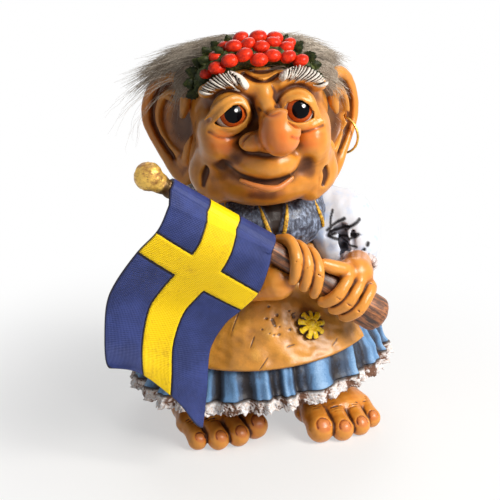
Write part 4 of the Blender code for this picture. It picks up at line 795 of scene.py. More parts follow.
    # wrinkles of the forehead and of the nose's root
    for line, width, depth in (
            (((-15.2, 23.3), (-10.4, 25.1), (-6.1, 22.9), (-2.7, 22.0), (1.4, 22.2), (5.2, 23.1),
              (10.5, 24.3)), 0.8, 1.2),
            (((-8.5, 21.5), (-4.8, 19.5), (-2.2, 18.9), (1.3, 19.1), (5.6, 21.2)), 0.8, 1.1),
            (((-13.2, 25.0), (-7.3, 26.6), (-3.3, 25.1), (0.8, 25.2), (5.6, 26.4), (12.0, 26.2)), 0.7, 0.9),
            (((-12.4, 22.0), (-7.4, 22.9), (-3.8, 20.9), (1.4, 20.7), (5.4, 22.0), (8.0, 22.6)), 0.9, -0.6),
            (((-3.2, 8.6), (0.2, 7.8), (3.6, 9.0)), 0.6, 0.4),
            (((2.4, 17.6), (3.6, 15.0), (3.4, 12.6)), 0.6, 0.4)):
        clay.engrave(line, width, depth, far=-12)
    clay.roughen(9.0, 0.10, 3)


BLUSHES = (
    # centre, radii, strength: nose, both cheeks, chin, nostril
    ((4.1, -50, 0.5), (12.5, 14.0, 12.5), 1.0), ((-18.5, -34, -5.0), (7.5, 9, 6.5), 0.75),
    ((18.5, -34, -4.0), (7.0, 9, 6.5), 0.8), ((-1, -32, -27), (10, 8, 5), 0.35),
    ((-6.8, -41, -4.6), (5, 6, 4), 0.4),
)
SHADES = (
    # centre and radii of broad hollows darkened with painted shade
    ((-7.0, -36, 7.4), (6.0, 10, 8.5)), ((6.2, -37, 10.4), (5.0, 10, 7.5)), ((-17, -33, 13.2), (9.5, 9, 3.8)),
    ((14, -34, 15.4), (9, 9, 3.8)), ((-13.5, -37, -12.5), (6.0, 8, 3.4)), ((0, -37, -28.5), (14, 12, 3.4)),
    ((-20, -33, -16), (5.5, 8, 4.5)), ((18, -34, -18), (5.0, 8, 6.0)),
)
SHADE_DEPTH = 0.50


def within(points, centre, radii):
    """1 at an ellipsoid's skin, less inside it, more outside."""
    return np.sqrt(sum(((axis - c) / r) ** 2 for axis, c, r in zip(points.T, centre, radii)))


def paint_head(mesh, clay, points):
    """Numbers for the skin's paint: blush, lip, dark line of the mouth, and hollows."""
    x, y, z = points.T
    blush = np.zeros(len(points))
    for centre, radii, strength in BLUSHES:
        blush = np.maximum(blush, strength * (1 - step_up(within(points, centre, radii), 0.35, 1.15)))
    path = smooth_path(MOUTH, 6)
    under = np.interp(x, path[:, 0], path[:, 2])
    lip = step_up(-y, 20, 28) * step_up(z, under - 4.6, under - 3.2) * (1
                                                                        - step_up(z, under - 0.6,
                                                                                  under)) * (y < -35)
    lip *= 1 - step_up(np.abs(x + 0.3), 9.5, 12.5)
    near = (y < -30) & (np.abs(z - under) < 1.0) & (x > -17) & (x < 13)
    line = near * (1 - step_up(np.abs(z - under), 0.35, 0.95))
    # fine hollows take the wash of the paint; the broad 3.2 mm hollows and the patches below add painted
    # shade
    hollow = clay.hollows(points, 1.3) + clay.hollows(points, 0.5) * 0.8 + clay.hollows(points, 3.2) * 0.9
    for centre, radii in SHADES:
        hollow = hollow + SHADE_DEPTH * (1 - step_up(within(points, centre, radii), 0.2, 1.1))
    give(mesh, hollow=np.clip(hollow, *HOLLOW_RANGE), blush=blush, pink=lip, dark=line * 0.85)


def build_head():
    clay = Clay((-34, -59, -37), (34, 36, 34), bpy.context.scene.troll_skin.grain)
    sculpt_head(clay)
    points, faces = clay.skin()
    mesh = build_mesh("troll_head", points, faces, HEAD_PLACE)
    paint_head(mesh, clay, points)
    return mesh


BROW_GROOVES = 15


def build_brow(side):
    """Raised brush of hair over one eye, with slanted grooves."""
    path = smooth_path(BROWS[side], 10)
    clay = Clay((path[:, 0].min() - 4, -38, path[:, 1].min() - 5),
                (path[:, 0].max() + 4, -20, path[:, 1].max() + 5),
                0.30)
    for x, z, half in path[::3]:
        clay.ball((x, brow_depth(x, z) + 1.0, z), (2.8, 3.4, half * 1.18), 1.0)
    way = EAR_SIDE[side]
    for k in range(BROW_GROOVES):
        share = (k + 0.5) / BROW_GROOVES
        x, z, half = path[int(share * (len(path) - 1))]
        lean = math.radians(24 + 52 * share)
        dx, dz = way * math.sin(lean) * half * 1.7, math.cos(lean) * half * 1.7
        bow = 0.35 * way
        clay.engrave(((x - dx, z - dz), (x + bow, z), (x + dx, z + dz)), 0.34, 1.4)
    clay.roughen(1.6, 0.12, 11)
    points, faces = clay.skin()
    mesh = build_mesh(f"troll_brow_{side}", points, faces, HEAD_PLACE)
    give(mesh, hollow=np.clip(clay.hollows(points, 0.5) * 1.6, -1, 2))
    return mesh


# middle of the painted highlight on the eye
PAINTED_HIGHLIGHT_OFF = math.radians(14.0)      # from where the eye looks, up and to the light's side
EYE_FIT = 0.05
GAZE = {"right": Vector((0.075, -1.0, 0.09)), "left": Vector((0.17, -1.0, 0.08))}


def build_eye(side):
    """Glass eye whose pole is where it looks."""
    rings, turns = 72, 96
    gaze = GAZE[side].normalized()
    beside, over = axes_round(gaze)
    # where the painted highlight sits on the glass
    light = (gaze * math.cos(PAINTED_HIGHLIGHT_OFF) + (over * 0.8 - beside * 0.6) * math.sin(PAINTED_HIGHLIGHT_OFF)).normalized()
    points, angles, sparks = [], [], []
    for r in range(rings + 1):
        polar = math.pi * r / rings
        for c in range(turns):
            turn = math.tau * c / turns
            side_way = beside * math.cos(turn) + over * math.sin(turn)
            out = gaze * math.cos(polar) + side_way * math.sin(polar)
            points.append(EYES[side] + out * (EYE_RADIUS - EYE_FIT))
            angles.append(math.degrees(polar))
            sparks.append(math.degrees(math.acos(min(1.0, out.dot(light)))))
    mesh = build_mesh(f"troll_eye_{side}", points, grid_faces(rings + 1, turns, closed=True), HEAD_PLACE)
    give(mesh, gaze=angles, spark=sparks)
    return face_outwards(mesh, merge=0.000001)


# Ears

EAR_OUTLINE = ((-1.0, 10.0), (4.0, 15.8), (11.5, 17.5), (19.0, 13.5), (24.0, 5.0), (24.3, -3.0),
               (20.5, -10.0),
               (15.0, -17.5), (9.0, -24.5), (3.5, -27.5), (-1.0, -23.5))
EAR_WIDTH = 24.5
EAR_WIDTHS = {"right": 24.5, "left": 21.3}
HOLE = (15.9, -2.8)


def sculpt_ear(clay, side):
    way = EAR_SIDE[side]
    stretch = EAR_WIDTHS[side] / EAR_WIDTH

    def at(x, y, z):
        return (way * x * stretch, y, z)

    edge = [(way * x * stretch, z) for x, z in smooth_path(EAR_OUTLINE, 4)]
    clay.outline(edge, 0.6, 3.8, 0.5, round_by=1.2)
    rim = [at(x, -0.6, z) for x, z in EAR_OUTLINE]
    clay.limb(rim, (2.0, 2.5, 2.7, 2.7, 2.6, 2.5, 2.4, 2.3, 2.5, 2.6, 2.2), 1.2, steps=5)
    clay.limb([at(*p) for p in ((3.5, -1.2, 15.0), (0.5, -3.0, 11.5), (0.0, -4.2, 6.5), (1.4, -4.4, 1.5))],
              (2.4, 2.6, 2.4, 1.8), 1.6)
    clay.ball(at(4.5, 0.4, -21.5), (5.4, 2.8, 6.0), 2.0)
    clay.limb([at(*p) for p in ((1.0, -1.2, -8.5), (1.2, -1.5, -13.5), (2.6, -0.8, -18.5))], (1.9, 2.3, 2.2),
              1.8)
    ridge = [at(*p) for p in ((8.0, -0.2, 10.6), (13.0, -0.8, 10.0), (17.0, -1.0, 4.5), (17.6, -1.0, -2.5),
                              (14.0, -0.8, -10.0), (8.5, -0.4, -16.0))]
    clay.limb(ridge, (1.0, 1.3, 1.5, 1.5, 1.3, 1.0), 2.4)
    clay.limb([at(*p) for p in ((13.0, -0.6, 9.0), (9.5, 0.2, 5.5), (6.0, 0.8, 4.0))], (1.3, 1.3, 0.9), 1.2)
    # the bowl behind the ridge, and the furrow under the rim
    clay.ball(at(7.6, -2.0, -3.0), (8.2, 4.0, 10.5), 2.2, take=True)
    furrow = [at(*p) for p in ((9.0, -0.6, 13.4), (15.5, -0.9, 12.2), (20.4, -1.0, 5.6), (21.0, -1.0, -2.4),
                               (17.6, -0.9, -9.6), (12.6, -0.8, -16.0))]
    clay.limb(furrow, (0.5, 0.8, 0.9, 0.9, 0.8, 0.4), 1.4, take=True)
    clay.roughen(8.0, 0.08, 7 + way)


def build_ear(side):
    width = EAR_WIDTHS[side] + 4
    low, high = ((-width, 3.0) if side == "right" else (-3.0, width))
    clay = Clay((low, -8, -31), (high, 7, 22), 0.4)
    sculpt_ear(clay, side)
    if side == "left":
        x, z = HOLE
        clay.limb(((x, -9, z), (x, 9, z)), 1.15, 0.15, steps=1, take=True)
        clay.limb(((x, -1.5, z - 1.2), (x, -1.0, z + 1.8)), (1.2, 1.0), 0.5, take=True)
    points, faces = clay.skin()
    mesh = build_mesh(f"troll_ear_{side}", points, faces, ear_place(side))
    out, depth, up = np.abs(points[:, 0]), points[:, 1], points[:, 2]
    # the bowl of the ear gets deeper hollow and the dark coat: painted shade inside the ear
    bowl = 1 - step_up(np.hypot((out - 6.4) / 8.2, (up + 3) / 11), 0.45, 1.1)
    bowl = bowl * (depth < 2.2)
    hollow = clay.hollows(points, 1.2) * 1.2 + clay.hollows(points, 0.5) * 0.6 + 0.55 * bowl
    give(mesh, hollow=np.clip(hollow, *HOLLOW_RANGE), blush=0.35 * step_up(out, 12, 20), pink=0 * out,
         dark=0.72 * bowl)
    return mesh


HOOP_RADIUS, HOOP_WIRE = 8.5, 0.55
HOOP_SEAM = ((2.2, 0.22, 0.05), (2.3, -0.25, 0.03))     # turn, how much thicker, width


def build_hoop():
    """Wire hoop with a small seam, hanging in the hole of the ear."""
    joint = frame["joints"][0]
    pivot = Vector(joint["pos_m"]) / MM - SHIFT
    axis = Vector(joint["axis"]).normalized()
    down = (Vector((0, 0, -1)) - axis * Vector((0, 0, -1)).dot(axis)).normalized()
    across = axis.cross(down).normalized()
    centre = pivot + down * HOOP_RADIUS
    turns, sides = 128, 12
    points = []
    for k in range(turns):
        turn = math.tau * k / turns
        out = -down * math.cos(turn) + axis * math.sin(turn)
        wire = HOOP_WIRE * (1 + sum(more * math.exp(-((turn - at) / width) ** 2) for at, more,
                                    width in HOOP_SEAM))
        for s in range(sides):
            a = math.tau * s / sides
            points.append(centre + out * (HOOP_RADIUS + wire * math.cos(a)) + across * wire * math.sin(a))
    return build_mesh("troll_hoop", points, ring_faces(turns, sides))


# Hands on the staff

KNUCKLES = (1.0, 1.12, 1.0, 1.1, 0.98, 0.86)


def finger(clay, turns, thick, lift=3.1, blend=0.8):
    """Finger round the staff: each turn gives a length along the staff and an angle."""
    points = [round_staff(along, angle, staff_radius(along) + lift) for along, angle in turns]
    clay.limb(points, [thick * share for share in KNUCKLES[:len(points)]], blend)


def carve_staff(clay, low, high, gap=0.15):
    """Takes the staff out of the clay, with a little room round it."""
    stations = np.linspace(low, high, 10)
    clay.limb([STAFF_TIP + staff_axis() * along for along in stations],
              [staff_radius(along) + gap for along in stations], 0.3, steps=1, take=True)


FISTS = {
    # corners of the clay; fingers' places on the staff; shift and angle of each joint; thickness; shift and
    # angle of the creases, their height over the staff and length; grip along the staff; seed
    "right": (((-22, -66, 68), (16, -34, 106)), (66.0, 71.7, 77.4),
              ((-2.5, -50), (-1.0, -15), (0.6, 20), (3.4, 62), (6.4, 102), (8.2, 128)), 2.5,
              ((0.2, 9), (4.2, 71)), 4.8, 1.5, (50, 95), 21),
    "left": (((2, -64, 50), (56, -16, 92)), (94.0, 99.9, 105.8),
             ((2.4, -14), (1.4, 22), (0.4, 56), (-0.4, 92), (-1.6, 124), (-2.6, 136)), 2.65,
             ((1.2, 25), (-0.4, 93)), 4.9, 1.6, (74, 121), 23),
}
WRISTS = {"right": Vector((-17.0, -38.0, 76.5)), "left": Vector((39.0, -22.5, 77.5))}


def crease(clay, centre, across, length):
    """Short line pressed into the skin at a point, running across the finger."""
    way = across * length
    clay.limb([centre - way, centre, centre + way], 0.28, 0.25, steps=2, take=True)


def palm_right(clay, wrist):
    palm = round_staff(72.0, 190, 10.5)
    clay.ball(palm, (8.2, 6.4, 7.8), 2.5)
    clay.ball(round_staff(74.0, 240, 8.5), (8.2, 5.0, 7.2), 2.5)
    finger(clay, ((64.0, 200), (64.0, 230), (64.6, 262), (66.0, 300)), 2.9, blend=1.5)
    clay.limb([palm, (palm + wrist) / 2 + Vector((0, -0.5, -0.5)), wrist], (7.4, 6.2, 5.8), 2)


def palm_left(clay, wrist):
    back = round_staff(99.8, -8, 10.6)
    clay.ball(back, (7.8, 6.4, 5.8), 2.5)
    clay.limb([back, (back + wrist) / 2, wrist], (6.8, 6.6, 6.0), 2)
    thumb = ((92.5, 15, 3.6), (86.5, 24, 3.0), (82.0, 28, 2.6))
    clay.limb([back + Vector((-4.0, 0.0, 1.0)),
               *(round_staff(along, angle, staff_radius(along) + over) for along, angle, over in thumb)],
              (4.6, 3.4, 3.1, 2.5), 1.6)


def build_hand(side):
    """Fist with three fingers and a thumb round the staff."""
    room, fingers, joints, thick, creases, over, length, grip, seed = FISTS[side]
    clay = Clay(*room, 0.40)
    for along in fingers:
        finger(clay, [(along + shift, angle) for shift, angle in joints], thick, 2.5)
    (palm_right if side == "right" else palm_left)(clay, WRISTS[side])
    carve_staff(clay, *grip)
    for along in fingers:
        for shift, angle in creases:
            spot = round_staff(along + shift, angle, staff_radius(along) + over)
            crease(clay, spot, staff_axis(), length)
    clay.roughen(6.0, 0.06, seed)
    return finish_flesh(f"troll_hand_{side}", clay)


FLESH_BLUSH = 0.12


def finish_flesh(name, clay, place=FIGURE_PLACE, pink=None):
    """Mesh of a hand or foot with the numbers for its paint; pink tells where nails are."""
    points, faces = clay.skin()
    mesh = build_mesh(name, points, faces, place)
    # fine hollows take the wash of the paint; the broad 2.4 mm hollows add painted shade between fingers and
    # toes
    hollow = clay.hollows(points, 1.1) * 1.1 + clay.hollows(points, 0.4) * 0.9 + clay.hollows(points,
                                                                                              2.4) * 0.9
    zero = np.zeros(len(points))
    give(mesh, hollow=np.clip(hollow, *HOLLOW_RANGE), blush=zero + FLESH_BLUSH,
         pink=pink(points) if pink else zero, dark=zero)
    return mesh


# Feet

FEET = {"right": ((-31.0, -2.0), 18.0), "left": ((24.5, -4.5), 10.0)}
TOES = (
    # outward, forward, radius
    (-11.8, 33.5, 6.0), (-2.0, 36.0, 5.1), (7.2, 34.5, 4.8), (15.2, 30.0, 4.3),
)


def nail_outline(tip, radius, middle, wide):
    """Points of a nail's rounded edge, on the toe's skin."""
    ring = [middle + Vector((wide * math.cos(a), radius * 0.45 * math.sin(a), radius * 0.42 * math.sin(a)))
            for a in np.linspace(-0.25, math.pi + 0.25, 9)]
    return [tip + (point - tip).normalized() * radius * 1.02 for point in ring]


def build_foot(side):
    """Bare foot with four toes, their nails and creases; its frame stands on the ground."""
    (x, y), turn = FEET[side]
    way = EAR_SIDE[side]
    place = Matrix.Translation((x, y, -0.6)) @ turned(z=turn)
    clay = Clay((-24, -45, 0.6), (24, 22, 50), 0.45)
    clay.ball((0, 6, 9), (12, 13, 10), 4)
    clay.ball((way, -10, 8.5), (15, 18, 9.5), 5)
    clay.ball((way, -19, 7), (18.5, 11, 7.5), 4)
    clay.limb(((0, 0.5, 15), (0, 0.5, 30), (0, 0.5, 40)), (11.8, 11.8, 9.4), 5)
    tips = []
    for outward, forward, radius in TOES:
        tip = Vector((way * outward, -forward, radius))
        knuckle = Vector((way * outward * 0.95, -forward + 9.0, radius + 3.0))
        root = Vector((way * outward * 0.80, -forward + 18.0, radius + 3.6))
        clay.limb([tip, (tip + knuckle) / 2 + Vector((0, 0, 0.2)), knuckle, root],
                  [radius * share for share in (1.02, 0.95, 0.96, 0.9)], 0.9, steps=3)
        tips.append((tip, radius))
    nails = []
    for tip, radius in tips:
        middle = tip + Vector((0, -radius * 0.62, radius * 0.62))
        wide = radius * 0.56
        clay.limb(nail_outline(tip, radius, middle, wide), 0.42, 0.35, steps=2, take=True)
        nails.append((middle, wide * 1.05))
    # gaps between the toes, and creases over their joints
    for (a, ra), (b, rb) in zip(tips, tips[1:]):
        x, y, _ = (a * rb + b * ra) / (ra + rb)
        clay.limb(((x, y + 3.0, 2.0), (x, y + 6.5, 7.0), (x * 0.92, y + 11.5, 11.5)), (0.9, 0.9, 0.5), 1.2,
                  take=True)
    for tip, radius in tips:
        for back in (5.2, 6.6, 8.0):
            x, y, z = tip + Vector((0, back, radius + 1.0 + back * 0.12))
            clay.limb(((x - radius * 0.5, y, z), (x, y, z + 0.35), (x + radius * 0.5, y, z)), 0.3, 0.4,
                      steps=2,
                      take=True)
    clay.roughen(5.0, 0.088, 31 + way)
    clay.field[:, :, 0] = np.maximum(clay.field[:, :, 0], 0.001)

    def nail_pink(points):
        return np.max([1 - step_up(np.linalg.norm(points - np.array(middle), axis=1), wide * 0.8, wide * 1.15)
                       for middle, wide in nails], axis=0)

    return finish_flesh(f"troll_foot_{side}", clay, place, nail_pink)


# Staff and its ball

STAFF_GROOVES = 26
STAFF_EDGE, STAFF_SHOULDER = 1.6, 0.86
BUTT_RINGS = ((0.80, 0.5), (0.62, 0.9), (0.42, 1.3), (0.2, 1.6),
              (0.04, 1.7))     # share of the radius, height


def build_staff():
    """Stained stick that swells to its butt, with grain cut along it."""
    length = (STAFF_BUTT - STAFF_TIP).length
    rings, sides = 260, 72
    angle = np.linspace(0, math.tau, sides, endpoint=False)
    s, a = np.meshgrid(np.linspace(0, length, rings), angle, indexing="ij")
    radius = STAFF_TIP_RADIUS + (STAFF_BUTT_RADIUS - STAFF_TIP_RADIUS) * (s / length) ** 1.5
    radius *= 1 + 0.025 * np.sin(s / length * 23) + 0.02 * np.sin(s / length * 41 + 1)
    groove = np.zeros_like(s)
    random = np.random.RandomState(4)
    for _ in range(STAFF_GROOVES):
        middle, spread, centre, width = (random.uniform(0, length), random.uniform(8, 26),
                                         random.uniform(0, math.tau), random.uniform(0.05, 0.11))
        bend = 0.25 * np.sin(s / 17 + random.uniform(0, 6))
        gap = np.abs((a - centre - bend + math.pi) % math.tau - math.pi)
        groove += np.exp(-(gap / width) ** 2) * np.exp(-((s - middle) / spread) ** 2)
    groove = np.clip(groove, 0, 1)
    radius = radius - groove * 0.035 * radius
    rounding = STAFF_SHOULDER + (1 - STAFF_SHOULDER) * np.sqrt(np.clip((length - s) / STAFF_EDGE, 0, 1))
    radius *= np.where(length - s < STAFF_EDGE, rounding, 1)
    points = np.stack([radius * np.cos(a), radius * np.sin(a), s], -1)
    cap = []
    for share, lift in BUTT_RINGS:
        ring = points[-1].copy()
        ring[:, :2] *= share / STAFF_SHOULDER
        ring[:, 2] = length + lift + 0.12 * np.sin(ring[:, 0] * 2.1 + share * 9)
        cap.append(ring)
    points = np.vstack([points.reshape(-1, 3), *cap])
    faces = [*grid_faces(rings + len(cap), sides, closed=True), range(len(points) - sides, len(points)),
             range(sides)[::-1]]
    turn = staff_axis().to_track_quat("Z", "Y").to_matrix().to_4x4()
    mesh = build_mesh("troll_staff", points, faces, Matrix.Translation(STAFF_TIP) @ turn)
    end = np.zeros(len(cap) * sides)
    around = np.tile(angle, rings + len(cap))
    give(mesh, groove=np.concatenate([groove.ravel(), end]),
         along=np.concatenate([(s / length).ravel(), end + 1]),
         around_x=np.cos(around), around_y=np.sin(around))
    return mesh


def staff_paint():
    paint = Finish("troll_staff_wood", 0.42, Coat_Weight=0.2, Coat_Roughness=0.25)
    along = paint.value("along")
    grain = paint.add("ShaderNodeCombineXYZ",
                      inputs={0: paint.value("around_x"), 1: paint.value("around_y"), 2: along * 2.2})
    streaks = paint.add("ShaderNodeTexNoise",
                        inputs={"Vector": grain, "Scale": 5.5, "Detail": 7.0, "Roughness": 0.7})
    mottle = paint.noise(0.16, 4.0)
    paint.coat(streaks.above(0.36, 0.66), (0.17, 0.062, 0.026), under=(0.040, 0.016, 0.010))
    paint.coat((mottle + along * 0.22).above(0.52, 0.78) * streaks.above(0.40, 0.62), (0.42, 0.15, 0.045))
    paint.coat(paint.value("groove") * 0.85, (0.010, 0.004, 0.003))
    return paint.done(Roughness=0.34 + streaks * 0.2, Normal=paint.bump(streaks + mottle * 0.4, 0.25, 0.6))


FINIAL_RADIUS = 5.9


def build_finial():
    """Ball and neck, dented and rubbed."""
    axis = staff_axis()
    centre = STAFF_TIP - axis * 2.1
    clay = Clay(centre - Vector((12, 12, 12)), centre + Vector((16, 12, 12)), 0.32)
    clay.ball(centre, FINIAL_RADIUS, 0.5)
    clay.limb([centre + axis * along for along in (5.0, 8.6, 10.5)], (4.2, 3.4, 3.7), 1.0)
    clay.limb((STAFF_TIP + axis * 1.0, STAFF_TIP + axis * 16), 2.5, 0.2, steps=1, take=True)
    clay.roughen(5.0, 0.18, 41)
    clay.roughen(2.2, 0.08, 42)
    points, faces = clay.skin()
    mesh = build_mesh("troll_finial", points, faces)
    gap = (points - np.array(centre)) @ np.array(axis)
    give(mesh, hollow=np.clip(clay.hollows(points, 0.9), *HOLLOW_RANGE), neck=step_up(gap, 5.4, 7.0))
    return mesh


def finial_paint():
    paint = Finish("troll_worn_gold", 0.34, Metallic=0.55)
    wear = paint.noise(0.20, 6.0, 0.65)
    scratch = paint.noise(0.5, 6.0, 0.7, stretch=(1.0, 0.3, 2.5))
    deep = paint.value("hollow").above(0.0, 0.5).most(paint.value("neck"))
    paint.coat(wear.above(0.38, 0.62), (0.80, 0.50, 0.10), under=(0.36, 0.17, 0.045))
    paint.coat(scratch.above(0.54, 0.66) * 0.7, (0.16, 0.07, 0.03))
    paint.coat(deep * 0.85, (0.035, 0.015, 0.008))
    return paint.done(Roughness=0.26 + scratch * 0.3, Normal=paint.bump(wear + scratch * 0.5, 0.3, 0.4))


# Flag

FLAG_START, FLAG_END = 7.0, 58.5
FLAG_NEAR_TIP = ((-50.0, -59.0, 124.5), (-55.1, -59.0, 113.7), (-63.3, -57.0, 104.1), (-71.9, -53.0, 90.2),
                 (-75.8, -50.5, 79.5), (-77.2, -50.5, 64.3), (-77.1, -53.0, 54.7), (-75.2, -54.5, 51.5))
FLAG_NEAR_HAND = ((-8.2, -60.0, 101.5), (-9.8, -60.0, 93.8), (-13.3, -57.5, 82.3), (-20.5, -54.5, 73.5),
                  (-26.8, -52.5, 67.1), (-32.7, -51.5, 56.0), (-34.5, -52.5, 40.8), (-36.9, -54.5, 27.5))
FLAG_THICKNESS = 1.7
FLAG_WRAP = (-130, 78)              # angles round the staff where the flag starts and leaves it
HOIST, FLY_STEP, THREADS = 54, 11.5, 9.0
CROSS_BAR = (0.352, 0.640)          # shares of the hoist
FLAG_ROUNDING, OUTLINE_WIDTH = 1.3, 0.55


def flag_rows(columns):
    """Rows of the flag's face from the staff to its free end, and how far down the fly each row is."""
    rows = []
    shares = np.linspace(0, 1, columns)
    first, last = FLAG_WRAP
    for angle in np.linspace(first, last, 22):
        row = []
        for along in FLAG_START + (FLAG_END - FLAG_START) * shares:
            row.append(tuple(round_staff(along, angle, staff_radius(along) * 1.05 + 0.4 + FLAG_THICKNESS)))
        rows.append((-1.0 + (angle - first) / (last - first) * 0.62, row))
    steps = 22
    near_tip = smooth_path(FLAG_NEAR_TIP, steps)
    near_hand = smooth_path(FLAG_NEAR_HAND, steps)
    for k, (a, b) in enumerate(zip(near_tip, near_hand)):
        t = k / (len(near_tip) - 1)
        tip = step_up(t, 0.72, 1.0)
        row = []
        for share in shares:
            x, y, z = a + (b - a) * share
            fold = (1.5 * math.sin(t * 3 * math.pi + 0.3) * math.sin(share * math.pi)
                    + 1.1 * math.sin(share * 2 * math.pi + t * 2.2) * t
                    + 2.6 * t ** 3 * math.sin((share - 0.55) * 7.0) * step_up(share, 0.3, 0.9))
            down = (4.2 * tip * math.exp(-((share - 0.28) / 0.3) ** 2)
                    - 7.0 * tip * math.exp(-((share - 0.97) / 0.16) ** 2))
            row.append((x, y - fold, z + down))
        rows.append((k / steps, row))
    return rows


def build_flag():
    """Stiff flag with soft edges, a raised cross and its carved outlines."""
    columns = 112
    rows = flag_rows(columns)
    front = np.array([row for _, row in rows])
    fly = np.repeat([v for v, _ in rows], columns).reshape(-1, columns)
    hoist = np.tile(np.linspace(0, 1, columns), (len(rows), 1))
    normal = np.cross(np.gradient(front, axis=1), np.gradient(front, axis=0))
    normal /= np.linalg.norm(normal, axis=2)[..., None] + CLOSE
    cross_low, cross_high = 1.06 + 0.95 * hoist, 1.98 + 0.98 * hoist
    bar = np.minimum(hoist - CROSS_BAR[0], CROSS_BAR[1] - hoist) * HOIST
    arm = np.minimum(fly - cross_low, cross_high - fly) * FLY_STEP
    inside = np.maximum(bar, arm)
    line = np.exp(-(inside / OUTLINE_WIDTH) ** 2)
    edge = np.minimum(np.minimum(hoist, 1 - hoist) * HOIST, (fly.max() - fly) * 11)
    rounding = np.sqrt(np.clip(1 - (1 - np.clip(edge / FLAG_ROUNDING, 0, 1)) ** 2, 0, 1))
    thick = FLAG_THICKNESS * (0.25 + 0.75 * rounding)
    middle = front + normal * (FLAG_THICKNESS / 2)
    lift = np.where(fly < 0, 0.0, 0.18 * step_up(inside, 0.0, 0.8) - 0.42 * line)
    mesh = plate_mesh("troll_flag", middle - normal * (thick / 2 + lift)[..., None],
                      middle + normal * (thick / 2)[..., None], step=-1)
    give(mesh, hoist=np.tile(hoist.ravel(), 2), fly=np.tile(fly.ravel(), 2),
         cross=np.tile(inside.ravel(), 2), edge=np.tile(edge.ravel(), 2))
    return mesh


def flag_paint():
    dress = bpy.context.scene.troll_dress
    paint = Finish("troll_flag_paint", 0.3, Specular_IOR_Level=0.25)
    hoist, fly, cross = (paint.value(name) for name in ("hoist", "fly", "cross"))
    weave = (hoist * (HOIST * THREADS)).sine() * 0.5 + (fly * (FLY_STEP * THREADS)).sine() * 0.5
    wear = paint.noise(0.09, 6.0, 0.65)
    fine = paint.noise(0.9, 4.0)
    worn = (wear * 0.6 + fine * 0.4).above(0.50, 0.68) * 0.5
    blue = paint.mix(wear.above(0.3, 0.7), toned(dress.flag_blue, 0.62), dress.flag_blue)
    yellow = paint.mix(worn, dress.flag_yellow, (0.62, 0.33, 0.01))
    paint.coat(cross.above(-0.1, 0.15), yellow, under=blue)
    # dark lines in the cross's carved outline and round the edge
    outline = (cross + (fine - 0.5) * 0.5 + 0.05).size()
    paint.coat(1.0 - outline.above(0.30, 0.55), (0.012, 0.008, 0.012))
    paint.coat(1.0 - paint.value("edge").above(0.1, 0.7), (0.02, 0.015, 0.03))
    return paint.done(Roughness=0.36 + fine * 0.14, Normal=paint.bump(weave * 0.5 + fine * 0.4, 0.24, 0.8))


# Dress

SKIRT_PROFILE = ((0.00, 1.00), (0.12, 0.965), (0.30, 0.88), (0.50, 0.765), (0.70, 0.62), (0.88, 0.49),
                 (1.00, 0.425))
HEM_RADIUS, HEM_HEIGHT, WAIST_HEIGHT, HEM_DEPTH_SHARE = 57.0, 27.5, 86.0, 0.93
HEM_RISE_LEFT, HEM_RISE_FRONT = 0.10, 0.07


def skirt_point(angle, rise, offset=0.0, drop=0.0):
    """Points on the smooth skirt: angle 0 is its front, rise goes from hem to waist. Takes arrays."""
    shares = np.array(SKIRT_PROFILE)
    radius = HEM_RADIUS * np.interp(rise, shares[:, 0], shares[:, 1]) + offset
    x = radius * np.sin(angle)
    y = -radius * np.cos(angle) * HEM_DEPTH_SHARE
    tilt = (HEM_RISE_LEFT * x - HEM_RISE_FRONT * y) * (1 - rise)
    return np.stack([x, y, HEM_HEIGHT + (WAIST_HEIGHT - HEM_HEIGHT) * rise + tilt - drop], -1)


PLEATS = 24


def pleat_height(angle, rise):
    """Sharp, uneven pleats: above 0 on a fold, below 0 in a furrow."""
    swing = angle + 0.045 * np.sin(5 * angle + 1) + 0.03 * np.sin(11 * angle) + 0.02 * np.sin(rise * 9 + angle
                                                                                              * 3)
    wave = np.sin(PLEATS * swing)
    second = np.sin(57 * swing + 2.2 * np.sin(7 * angle))
    return (np.sign(wave) * np.abs(wave) ** 0.7 + 0.35 * second) * np.clip(1 - rise / 0.75, 0, 1)


def build_skirt():
    turns, levels = 900, 56
    angle = np.linspace(0, math.tau, turns, endpoint=False)
    rise = np.concatenate([[0.0], np.linspace(0.0, 1.0, levels) ** 1.25])
    a, r = np.meshgrid(angle, rise, indexing="ij")
    height = pleat_height(a, r)
    spot = np.stack([np.cos(a), np.sin(a), r * 2], -1).reshape(-1, 3)
    offset = 1.5 * height + 0.5 * ripple(spot, 0.5, 5).reshape(a.shape)
    roll = np.exp(-(r / 0.025) ** 2) * 0.7
    points = skirt_point(a, r, offset - 0.4 + roll).transpose(1, 0, 2)
    points[0] = skirt_point(angle, 0.0 * angle, offset[:, 0] - 3.0)
    mesh = closed_rings("troll_skirt", points)
    flat = np.concatenate([height.T.ravel(), [0, 0]])
    give(mesh, pleat=flat, rise=np.concatenate([r.T.ravel(), [0, 1]]))
    return mesh


def skirt_paint():
    paint = Finish("troll_skirt_paint", 0.42, Specular_IOR_Level=0.25)
    pleat = paint.value("pleat")
    streak = paint.noise(0.35, 5.0, 0.65, stretch=(1.0, 1.0, 0.18))
    fine = paint.noise(1.3, 4.0)
    furrow = 0.0 - pleat * 0.55 + streak * 0.9 + (fine - 0.5) * 0.5
    # dark navy under the blue and near black in the furrows: painted shade between the pleats, with random
    # streaks
    paint.coat((pleat * 0.5 + streak).above(0.42, 0.92), bpy.context.scene.troll_dress.skirt_blue,
               under=(0.050, 0.075, 0.125))
    paint.coat(furrow.above(0.48, 1.0), (0.020, 0.016, 0.018))
    # pale blue on the crests of the pleats: painted highlight
    paint.coat((pleat * 0.6 + fine * 0.7).above(0.72, 1.15) * 0.55, (0.34, 0.52, 0.75))
    return paint.done(Roughness=0.36 + fine * 0.2, Normal=paint.bump(fine + streak, 0.22, 0.5))


